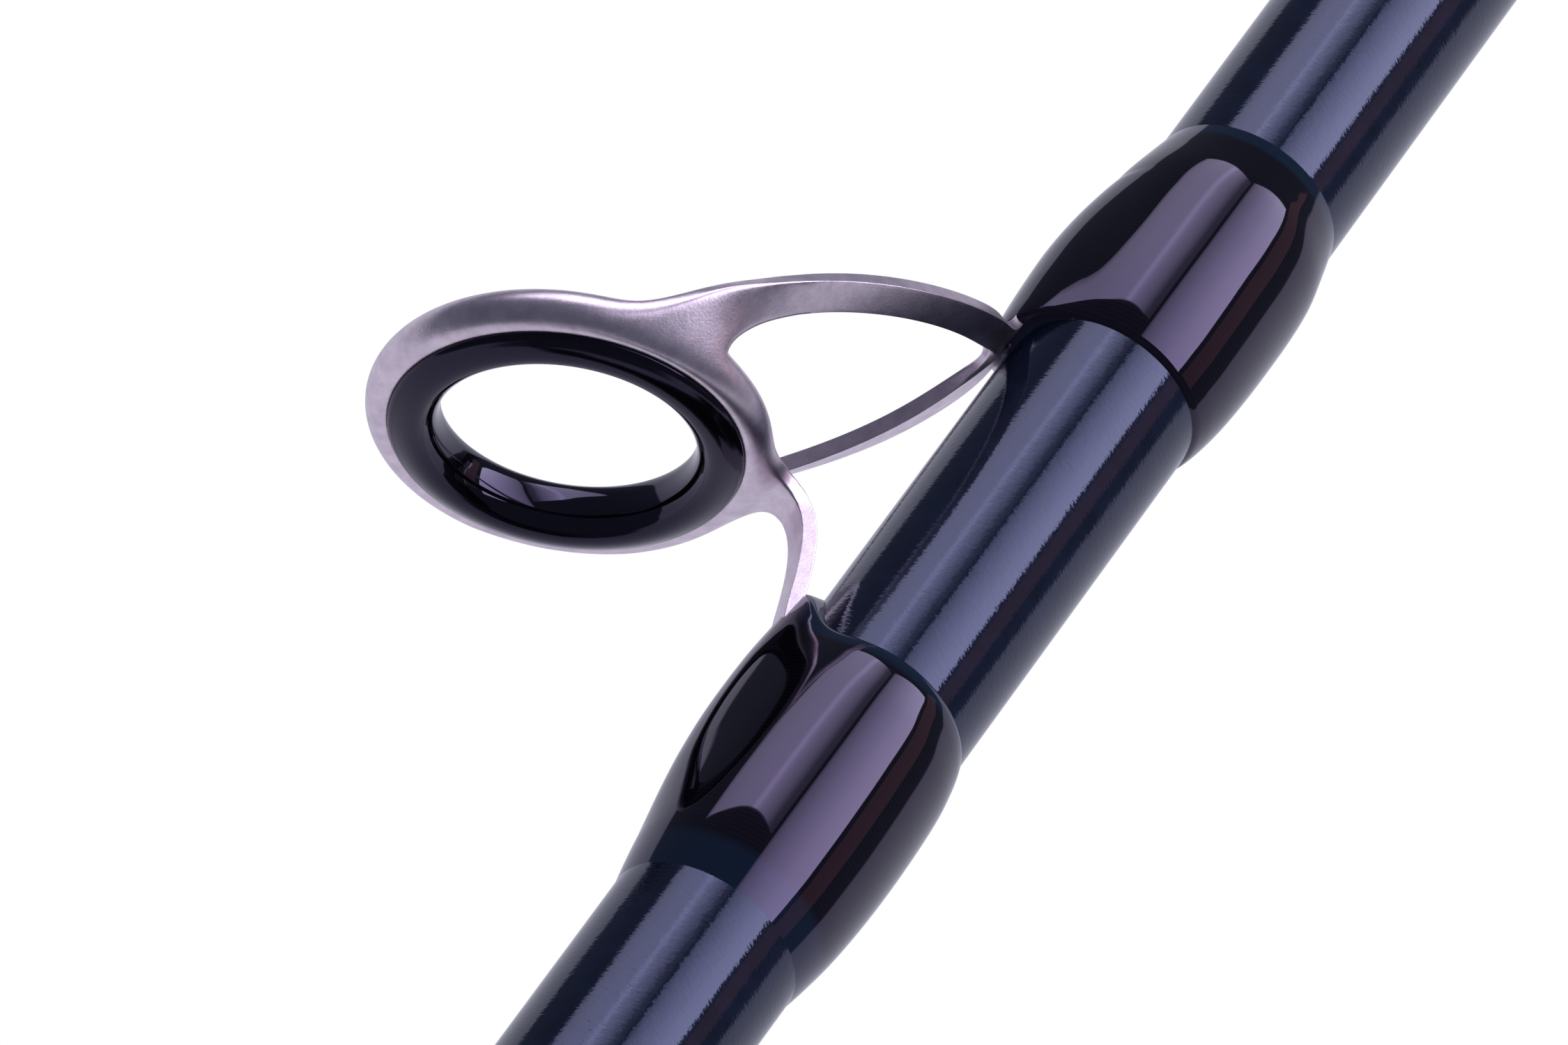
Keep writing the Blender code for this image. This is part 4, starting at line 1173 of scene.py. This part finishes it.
class ROD_OT_wraps(bpy.types.Operator):
    """Build the epoxied thread wraps."""

    bl_idname = "rod.wraps"
    bl_label = "Thread wraps"

    def execute(self, context):
        for name in GUIDES:
            guide = Guide(name)
            feet = (
                ("_rear_wrap", REAR_WRAP, FOOT_ENTRY_HALF_WIDTH),
                ("_front_wrap", FRONT_WRAP, FRONT_LEG_HALF_WIDTH)
            )
            for suffix, wrap, width in feet:
                shell = wrap_shell(guide, wrap, width)
                node = name + suffix
                show(node + "_epoxy", shell, [epoxied_thread], guide.body, [node])
        for node, radius_at, body in (
            ("fore_wrap", butt_radius, BUTT), ("ferrule_wrap", lambda x: FERRULE_RADIUS, TIP),
            ("tip_top_wrap", tip_radius, TIP)
        ):
            show(node + "_epoxy", plain_wrap(node, radius_at), [epoxied_thread], body, [node])
        return {"FINISHED"}


class ROD_OT_keeper(bpy.types.Operator):
    """Build the hook keeper's wire eye and the wrap over its foot."""

    bl_idname = "rod.keeper"
    bl_label = "Hook keeper"

    def execute(self, context):
        start, end = span("hook_keeper")
        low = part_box("hook_keeper")[0]
        wire = 0.6 * MM
        eye = 2.6 * MM
        middle = Vector((end - wire - eye, low.y + wire + eye, 0))
        foot_y = -(butt_radius(start) + 0.2 * MM + wire)
        circle = [middle + eye * Vector((math.cos(a), -math.sin(a), 0)) for a in around(48)]
        rings = []
        for i, point in enumerate(circle):
            outward = (point - middle).normalized()
            rings.append(
                [
                    point + wire * (math.cos(t) * outward + math.sin(t) * Vector((0, 0, 1)))
                    for t in around(16)
                ]
            )
        foot = [Vector((start + (middle.x - start) * i / 8, foot_y, 0)) for i in range(9)]
        taper = tube_along(foot, lambda share: wire * (0.55 + 0.45 * min(1.0, share * 4)), 16)
        mesh = united([as_mesh(loft(rings, closed=True)), as_mesh(taper)])
        show("hook_keeper_wire", mesh, [tumbled_steel], BUTT, ["hook_keeper"])

        start, end = span("keeper_wrap")
        sides = SMALL_SIDES
        rings, covers = [], []
        for share in eased(PLAIN_WRAP_ROWS):
            x = start + share * (end - start)
            from_start, from_end = share * (end - start), (1 - share) * (end - start)
            rising = min(1.0, from_start / (3 * MM), from_end / (1.5 * MM))
            crown = math.sin(rising * math.pi / 2) ** CROWN_POWER
            surface = butt_radius(x)
            ramp = limited((from_start - 1.5 * MM) / (4 * MM))
            over_foot = (0.62 + 1.38 * ramp * ramp * (3 - 2 * ramp)) * MM * crown
            rings.append(
                [
                    polar(
                        x,
                        soft_saddle_radius(
                            a, surface + 0.62 * MM * crown, surface + over_foot, wire
                        ) - WRAP_SINK,
                        a
                    )
                    for a in around(sides)
                ]
            )
            covers.append(limited((min(from_start, from_end) - 0.9 * MM) / COVER_FADE))
        for x in (end - 0.5 * MM, start + 0.5 * MM):
            rings.append([polar(x, butt_radius(x) - 3 * WRAP_SINK, a) for a in around(sides)])
            covers.append(0.0)
        shell = with_cover(loft(rings, closed=True), covers, sides)
        show("keeper_wrap_epoxy", shell, [epoxied_thread], BUTT, ["keeper_wrap"])
        return {"FINISHED"}


class ROD_OT_tip_top(bpy.types.Operator):
    """Build the tip-top: its tube, hoop, two struts and ceramic ring."""

    bl_idname = "rod.tip_top"
    bl_label = "Tip-top"

    def execute(self, context):
        low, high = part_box("tip_top_ring")
        scale = high.z / RING_FLANGE_RADIUS
        frame_low, frame_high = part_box("tip_top_frame")
        middle = (low + high) / 2
        lean = Vector((math.cos(RING_LEAN), math.sin(RING_LEAN), 0))
        centre = middle + lean * 1.0 * MM * scale
        start = frame_low.x
        end = start + 17.4 * MM
        outer = frame_high.y
        bore = outer - 0.5 * MM
        sleeve = rounded(
            (
                (end, 0, 0), (end, outer * 0.95, 0.7 * MM), (start, outer, 0.2 * MM),
                (start, bore, 0.1 * MM), (TIP_BLANK_END + 0.3 * MM, bore, 0.1 * MM),
                (TIP_BLANK_END + 0.3 * MM, 0, 0)
            ),
            6
        )
        meshes = [as_mesh(lathe(sleeve, SMALL_SIDES))]
        profile = [Vector((r * scale, a * scale)) for r, a in HOOP_SECTION]
        hoop = flowing([*profile, profile[0]], 4)[:-1]
        outline = [(along, radius) for radius, along in hoop]
        meshes.append(as_mesh(lathe(outline, SMALL_SIDES, centre, RING_LEAN)))
        for side in (1, -1):
            path = flowing(
                (
                    (start + 4.2 * MM, -outer * 0.7, side * outer * 0.5),
                    (start + 8 * MM, -outer * 1.15, side * outer * 1.0),
                    (centre.x - 4.6 * MM, centre.y + 1.7 * MM, side * 3.3 * MM),
                    (centre.x - 0.7 * MM, centre.y + 0.5 * MM, side * 4.2 * MM)
                ),
                8
            )
            strut = [Vector(p) for p in path]
            meshes.append(as_mesh(tube_along(strut, lambda share: 0.55 * MM, 14)))
        show("tip_top_body", united(meshes), [tumbled_steel], TIP, ["tip_top_frame"])
        ring = ceramic_ring(scale, SMALL_SIDES, centre)
        show(
            "tip_top_insert", ring, [satin_ceramic, polished_ceramic], TIP, ["tip_top_ring"],
        )
        return {"FINISHED"}


class ROD_OT_grips(bpy.types.Operator):
    """Build the two foam grips."""

    bl_idname = "rod.grips"
    bl_label = "Foam grips"

    def execute(self, context):
        start, end = span("rear_grip")
        stations = (
            (start + 4 * MM, 14.9 * MM), (start + 20 * MM, 15.0 * MM), (start + 60 * MM, 14.5 * MM),
            (start + 125 * MM, 12.6 * MM), (end - 70 * MM, 12.2 * MM), (end - 26 * MM, 12.95 * MM),
            (end - 12 * MM, 13.1 * MM), (end - 4 * MM, 12.7 * MM)
        )
        self.grip("rear_grip", start, end, stations, 14.3 * MM, 12.2 * MM)
        start, end = span("fore_grip")
        stations = (
            (start + 4 * MM, 13.25 * MM), (start + 22 * MM, 13.6 * MM), (start + 50 * MM, 12.4 * MM),
            (end - 16 * MM, 10.8 * MM), (end - 5 * MM, 10.1 * MM)
        )
        self.grip("fore_grip", start, end, stations, 12.5 * MM, 9.5 * MM)
        return {"FINISHED"}

    def grip(self, node, start, end, stations, rear_radius, front_radius):
        """A foam sleeve with softly rolled ends."""
        roll = 1.6 * MM
        curve = flowing(stations, 10)
        rear = rounded(
            (
                (start, butt_radius(start) + PLAY, 0), (start, rear_radius, roll),
                (start + 4 * MM, stations[0][1], 0)
            )
        )
        front = rounded(
            (
                (end - 4 * MM, stations[-1][1], 0), (end, front_radius + 0.2 * MM, roll),
                (end, butt_radius(start) + PLAY, 0)
            )
        )
        outline = rear + curve[1:-1] + front
        piece = show(node + "_foam", lathe(outline), [foam], BUTT, [node])


class ROD_OT_reel_seat(bpy.types.Operator):
    """Build the reel seat's barrel with its flat bed and screw thread."""

    bl_idname = "rod.reel_seat"
    bl_label = "Reel seat"

    def execute(self, context):
        sizes = context.scene.rod_handle
        start, end = span("reel_seat")
        crest = SEAT_RADIUS
        bed = -(crest - BED_DEPTH)
        flange = half_height("reel_seat")
        thread_start, thread_end = start + THREAD_FROM, start + THREAD_TO
        bed_start, bed_end = start + BED_FROM, start + BED_TO
        core = crest - sizes.thread_ridge + 0.1 * MM
        outline = rounded(
            (
                (start, SEAT_BORE, 0), (start, flange, 0.5 * MM), (start + 2.2 * MM, flange, 0.5 * MM),
                (start + 2.6 * MM, core, 0.3 * MM), (thread_end - 0.6 * MM, core, 0.3 * MM),
                (thread_end + 0.4 * MM, crest, 0.3 * MM), (end - 0.4 * MM, crest, 0.4 * MM),
                (end, crest - 0.4 * MM, 0.2 * MM), (end, SEAT_BORE, 0)
            ),
            6
        )
        dense = []
        for (x0, r0), (x1, r1) in zip(outline, outline[1:]):
            pieces = max(1, int(abs(x1 - x0) / (1.0 * MM)))
            dense += [(x0 + (x1 - x0) * i / pieces, r0 + (r1 - r0) * i / pieces) for i in range(pieces)]
        dense.append(outline[-1])
        barrel = lathe(dense)
        for vert in barrel.verts:
            if bed_start < vert.co.x < bed_end and vert.co.y < bed:
                vert.co.y = bed
        turns = (thread_end - thread_start) / sizes.thread_pitch
        thread = mesh_from_nodes(
            thread_tree(),
            {
                "Turns": turns, "Pitch": sizes.thread_pitch, "Middle radius": crest - sizes.thread_ridge,
                "Ridge radius": sizes.thread_ridge, "Bed height": -bed - RIDGE_SINK,
                "Material": material_named(nylon)
            }
        )
        thread.transform(Matrix.Translation((thread_start, 0, 0)))
        show("reel_seat_barrel", barrel, [nylon], BUTT, ["reel_seat"])
        show("reel_seat_thread", thread, [nylon], BUTT, [])
        return {"FINISHED"}


class ROD_OT_hoods(bpy.types.Operator):
    """Build the fixed and the sliding hood."""

    bl_idname = "rod.hoods"
    bl_label = "Hoods"

    def execute(self, context):
        for node, facing, body in (("fixed_hood", -1, BUTT), ("sliding_hood", 1, HOOD)):
            low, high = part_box(node)
            mouth = high.x if facing > 0 else low.x
            back = low.x if facing > 0 else high.x
            skin = high.z
            bore = skin - HOOD_WALL
            height = -low.y
            width = 5.4 * MM
            pocket_end = mouth - facing * 13 * MM
            lip = 0.35 * MM
            outer = (
                (mouth - facing * lip * 0.3, skin - lip, height - lip, width + 0.3 * MM),
                (mouth - facing * lip, skin, height, width + 0.65 * MM),
                (mouth - facing * 3 * MM, skin, height, width + 0.65 * MM),
                (mouth - facing * 7 * MM, skin, height - 0.1 * MM, width + 0.6 * MM),
                (mouth - facing * 10 * MM, skin, height - 0.45 * MM, width + 0.3 * MM),
                (pocket_end, skin, height - 1.1 * MM, width),
                (mouth - facing * 16 * MM, skin, height - 2.3 * MM, width * 0.85),
                (mouth - facing * 19 * MM, skin, height - 3.6 * MM, width * 0.65),
                (back + facing * lip, skin, skin + 0.02 * MM, width / 2),
                (back, skin - lip, skin - lip, width / 2)
            )
            inner = (
                (back, bore, bore, width / 2), (pocket_end, bore, bore, width / 2),
                (pocket_end + facing * 1 * MM, bore, height - 2.5 * MM, width - 1 * MM),
                (mouth - facing * 5 * MM, bore, height - HOOD_WALL, width),
                (mouth - facing * lip, bore, height - HOOD_WALL, width),
                (mouth, bore + lip * 0.6, height - HOOD_WALL + lip * 0.6, width + 0.15 * MM)
            )
            blur = math.radians(5)
            rings = [
                [
                    polar(x, soft_saddle_radius(angle, skin_at, top, half, blur), angle)
                    for angle in around(HOOD_SIDES)
                ]
                for x, skin_at, top, half in outer + inner
            ]
            shell = loft(rings, closed=True)
            show(node + "_shell", shell, [brushed_steel], body, [node])
        return {"FINISHED"}


class ROD_OT_locking_nut(bpy.types.Operator):
    """Build the ribbed locking nut and the trim ring on its front."""

    bl_idname = "rod.locking_nut"
    bl_label = "Locking nut"

    def execute(self, context):
        sizes = context.scene.rod_handle
        start, end = span("locking_nut")
        radius = half_height("locking_nut")
        bore = radius - NUT_WALL
        body_radius = radius - sizes.rib_radius * 0.75
        outline = rounded(
            (
                (start, bore, 0), (start, radius - 0.5 * MM, 0.6 * MM),
                (start + 1.5 * MM, radius - 0.1 * MM, 0.3 * MM), (start + 1.8 * MM, body_radius, 0.2 * MM),
                (end - 1.8 * MM, body_radius, 0.2 * MM), (end - 1.5 * MM, radius - 0.1 * MM, 0.3 * MM),
                (end, radius - 0.5 * MM, 0.6 * MM), (end, bore, 0)
            )
        )
        ribs = mesh_from_nodes(
            ribs_tree(),
            {
                "Count": sizes.rib_count, "Ring radius": radius - sizes.rib_radius,
                "Rib radius": sizes.rib_radius, "Rib length": end - start - 2.6 * MM,
                "Material": material_named(nylon)
            }
        )
        ribs.transform(Matrix.Translation(((start + end) / 2, 0, 0)))
        show("locking_nut_body", lathe(outline), [nylon], NUT, ["locking_nut"])
        show("locking_nut_ribs", ribs, [nylon], NUT, [])

        start, end = span("nut_ring")
        radius, fillet = half_height("nut_ring"), 0.3 * MM
        outline = rounded(
            ((start, bore, 0), (start, radius, fillet), (end, radius, fillet), (end, bore, 0))
        )
        show("nut_ring_turned", lathe(outline), [anodised_aluminium], NUT, ["nut_ring"])
        return {"FINISHED"}


class ROD_OT_checks(bpy.types.Operator):
    """Build the turned trim rings between the handle's pieces."""

    bl_idname = "rod.checks"
    bl_label = "Trim rings"

    def execute(self, context):
        for node, drop in (("rear_check", 0.4 * MM), ("mid_check", 0.4 * MM), ("fore_check", 1.5 * MM)):
            start, end = span(node)
            radius = half_height(node)
            bore = butt_radius(start) + PLAY
            front = radius - drop
            waist = start + 0.5 * (end - start)
            waist_radius = radius - drop / 2
            outline = rounded(
                (
                    (start, bore, 0), (start, radius - 0.4 * MM, 0.3 * MM),
                    (start + 0.5 * MM, radius, 0.4 * MM),
                    (waist - 0.35 * MM, waist_radius + 0.05 * MM, 0.1 * MM),
                    (waist, waist_radius - 0.35 * MM, 0.15 * MM),
                    (waist + 0.35 * MM, waist_radius - 0.05 * MM, 0.1 * MM),
                    (end - 0.5 * MM, front, 0.4 * MM), (end, front - 0.4 * MM, 0.3 * MM), (end, bore, 0)
                )
            )
            show(node + "_turned", lathe(outline), [anodised_aluminium], BUTT, [node])
        return {"FINISHED"}


class ROD_OT_butt_cap(bpy.types.Operator):
    """Build the rubber butt cap, and finish the foam pieces hidden in the handle."""

    bl_idname = "rod.butt_cap"
    bl_label = "Butt cap"

    def execute(self, context):
        start, end = span("butt_cap")
        radius = half_height("butt_cap")
        socket = butt_radius(BUTT_START) + PLAY
        floor = BUTT_START - PLAY
        outline = rounded(
            (
                (start + 0.5 * MM, 0, 0), (start + 0.5 * MM, 8 * MM, 0.4 * MM), (start, 8.8 * MM, 0.4 * MM),
                (start, 12 * MM, 1.2 * MM), (start + 1.6 * MM, radius - 0.8 * MM, 1.6 * MM),
                (start + 4.5 * MM, radius, 1.6 * MM), (end - 6.2 * MM, radius, 0.3 * MM),
                (end - 5.9 * MM, radius - 0.5 * MM, 0.2 * MM),
                (end - 5.1 * MM, radius - 0.5 * MM, 0.2 * MM), (end - 4.8 * MM, radius, 0.3 * MM),
                (end - 2 * MM, radius, 1.2 * MM), (end, radius - 0.7 * MM, 0.5 * MM), (end, socket, 0),
                (floor, socket, 0), (floor, 0, 0)
            )
        )
        show("butt_cap_rubber", lathe(outline), [rubber], BUTT, ["butt_cap"])
        for node in ("butt_plug", "seat_arbor_rear", "seat_arbor_mid", "seat_arbor_front"):
            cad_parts[node].material_slots[0].material = material_named(hidden_foam)
        return {"FINISHED"}


class ROD_OT_studio(bpy.types.Operator):
    """Build the camera, the pale floor and the softboxes."""

    bl_idname = "rod.studio"
    bl_label = "Studio"

    def execute(self, context):
        settings = context.scene.rod_studio
        scene = context.scene
        scene.view_settings.view_transform = "Standard"
        self.camera(scene, settings)
        self.floor(settings)
        self.world(scene)
        ring_x = Guide("guide_1").x
        for name, first, last, near, far, levels in SOFTBOXES:
            tint = linear(WARM_TINT) if name == "warm_bounce_card" else settings.light_tint
            angles = math.radians(first), math.radians(last)
            self.softbox(name, settings, ring_x, angles, near, far, levels, tint)
        return {"FINISHED"}

    def camera(self, scene, settings):
        data = bpy.data.cameras.new("camera")
        data.lens = settings.focal_length
        data.sensor_width = 36
        data.clip_start = 0.01
        data.clip_end = 500
        camera = linked("camera", data)
        turn = Matrix((CAMERA_RIGHT, CAMERA_UP, CAMERA_BACK)).transposed().to_4x4()
        ring = Vector((Guide("guide_1").x, 0, 0))
        camera.matrix_world = Matrix.Translation(ring + CAMERA_FROM_RING) @ turn
        scene.camera = camera

    def floor(self, settings):
        half = settings.floor_size / 2
        height = CAD_LOW.z - 0.1 * MM
        corners = [(-half, -half, height), (half, -half, height), (half, half, height), (-half, half, height)]
        mesh = bpy.data.meshes.new("floor")
        mesh.from_pydata(corners, [], [(0, 1, 2, 3)])
        mesh.materials.append(glow("pale_acrylic_floor", FLOOR_SEEN))
        floor = linked("floor", mesh)
        floor.visible_diffuse = floor.visible_glossy = floor.visible_shadow = False

    def world(self, scene):
        """White to the camera. To the rod: a pale table below, and a dim room above and on the -Y side."""
        world = bpy.data.worlds.new("studio")
        world.use_nodes = True
        scene.world = world
        tree = world.node_tree
        tree.nodes.clear()
        place = add_node(tree, "ShaderNodeTexCoord")
        parts = add_node(tree, "ShaderNodeSeparateXYZ", {"Vector": place.outputs["Generated"]})
        edge = add_node(
            tree, "ShaderNodeMapRange", {"Value": parts.outputs["Y"]},
            {
                "From Min": -TABLE_EDGE_TURN, "From Max": TABLE_EDGE_TURN, "To Min": TABLE_EDGE_NEAR,
                "To Max": TABLE_EDGE_FAR
            }
        )
        below = add_node(
            tree, "ShaderNodeMath", {0: edge.outputs["Result"], 1: parts.outputs["Z"]}, operation="SUBTRACT"
        )
        table = add_node(
            tree, "ShaderNodeMapRange", {"Value": below.outputs[0]},
            {"From Min": -TABLE_EDGE_BLUR, "From Max": TABLE_EDGE_BLUR}, interpolation_type="SMOOTHSTEP"
        )
        room = add_node(tree, "ShaderNodeBackground", values={"Color": (*ROOM_GLOW, 1)})
        pale = add_node(tree, "ShaderNodeBackground", values={"Color": (*TABLE_GLOW, 1)})
        surroundings = add_node(
            tree, "ShaderNodeMixShader",
            {0: table.outputs["Result"], 1: room.outputs[0], 2: pale.outputs[0]}
        )
        seen = add_node(tree, "ShaderNodeBackground", values={"Color": (*FLOOR_SEEN, 1)})
        path = add_node(tree, "ShaderNodeLightPath")
        mix = add_node(
            tree, "ShaderNodeMixShader",
            {0: path.outputs["Is Camera Ray"], 1: surroundings.outputs[0], 2: seen.outputs[0]}
        )
        add_node(tree, "ShaderNodeOutputWorld", {"Surface": mix.outputs[0]})

    def softbox(self, name, settings, ring_x, angles, near, far, levels, tint):
        """A rectangular light whose long edges run along the rod; its glow varies across it."""
        distance = settings.light_distance
        first, last = angles
        angle, spread = (first + last) / 2, (last - first) / 2
        data = bpy.data.lights.new(name, "AREA")
        data.shape = "RECTANGLE"
        data.size = (far - near) * distance
        data.size_y = 2 * distance * math.tan(spread)
        data.color = tint
        data.energy = math.pi * data.size * data.size_y
        data.use_nodes = True
        tree = data.node_tree
        tree.nodes.clear()
        place = add_node(tree, "ShaderNodeNewGeometry")
        parts = add_node(tree, "ShaderNodeSeparateXYZ", {"Vector": place.outputs["Parametric"]})
        ramp = add_node(tree, "ShaderNodeValToRGB", {"Fac": parts.outputs["Y"]})
        peak = max(level for _, level in levels)
        stops = ramp.color_ramp.elements
        while len(stops) < len(levels):
            stops.new(0.5)
        for stop, (share, level) in zip(stops, levels):
            stop.position = share
            stop.color = (level / peak,) * 3 + (1,)
        glow_node = add_node(
            tree, "ShaderNodeEmission", {"Color": ramp.outputs["Color"]}, {"Strength": peak}
        )
        add_node(tree, "ShaderNodeOutputLight", {"Surface": glow_node.outputs[0]})
        light = linked(name, data)
        out = Vector((0, math.sin(angle), math.cos(angle)))
        along = Vector((1, 0, 0))
        turn = Matrix((along, out.cross(along), out)).transposed().to_4x4()
        position = Vector((ring_x - (near + far) / 2 * distance, 0, 0)) + out * distance
        light.matrix_world = Matrix.Translation(position) @ turn
        light.visible_camera = False


def glow(name, colour):
    """An even, shadowless surface that gives off its own light."""
    material = bpy.data.materials.new(name)
    material.use_nodes = True
    tree = material.node_tree
    tree.nodes.clear()
    light = add_node(tree, "ShaderNodeEmission", values={"Color": (*colour, 1)})
    add_node(tree, "ShaderNodeOutputMaterial", {"Surface": light.outputs[0]})
    return material


class ROD_PT_panel(bpy.types.Panel):
    """Lists the rod's pieces."""

    bl_label = "Spinning rod"
    bl_idname = "ROD_PT_panel"
    bl_space_type = "VIEW_3D"
    bl_region_type = "UI"
    bl_category = "Rod"

    def draw(self, context):
        scene = context.scene
        for group in (scene.rod_guides, scene.rod_handle, scene.rod_studio):
            box = self.layout.box()
            for name in group.bl_rna.properties.keys():
                if name not in ("rna_type", "name"):
                    box.prop(group, name)
        for operator in OPERATORS:
            self.layout.operator(operator.bl_idname)


OPERATORS = (
    ROD_OT_blanks, ROD_OT_guides, ROD_OT_wraps, ROD_OT_keeper, ROD_OT_tip_top, ROD_OT_grips,
    ROD_OT_reel_seat, ROD_OT_hoods, ROD_OT_locking_nut, ROD_OT_checks, ROD_OT_butt_cap, ROD_OT_studio
)
SETTINGS = (
    ("rod_guides", RodGuideSettings), ("rod_handle", RodHandleSettings), ("rod_studio", RodStudioSettings)
)


def register():
    for name, group in SETTINGS:
        bpy.utils.register_class(group)
        setattr(bpy.types.Scene, name, bpy.props.PointerProperty(type=group))
    for operator in (*OPERATORS, ROD_PT_panel):
        bpy.utils.register_class(operator)


def unregister():
    for operator in (ROD_PT_panel, *reversed(OPERATORS)):
        bpy.utils.unregister_class(operator)
    for name, group in reversed(SETTINGS):
        delattr(bpy.types.Scene, name)
        bpy.utils.unregister_class(group)


def main():
    register()
    bpy.ops.rod.blanks()
    bpy.ops.rod.guides()
    bpy.ops.rod.wraps()
    bpy.ops.rod.keeper()
    bpy.ops.rod.tip_top()
    bpy.ops.rod.grips()
    bpy.ops.rod.reel_seat()
    bpy.ops.rod.hoods()
    bpy.ops.rod.locking_nut()
    bpy.ops.rod.checks()
    bpy.ops.rod.butt_cap()
    bpy.ops.rod.studio()


if __name__ == "__main__":
    main()
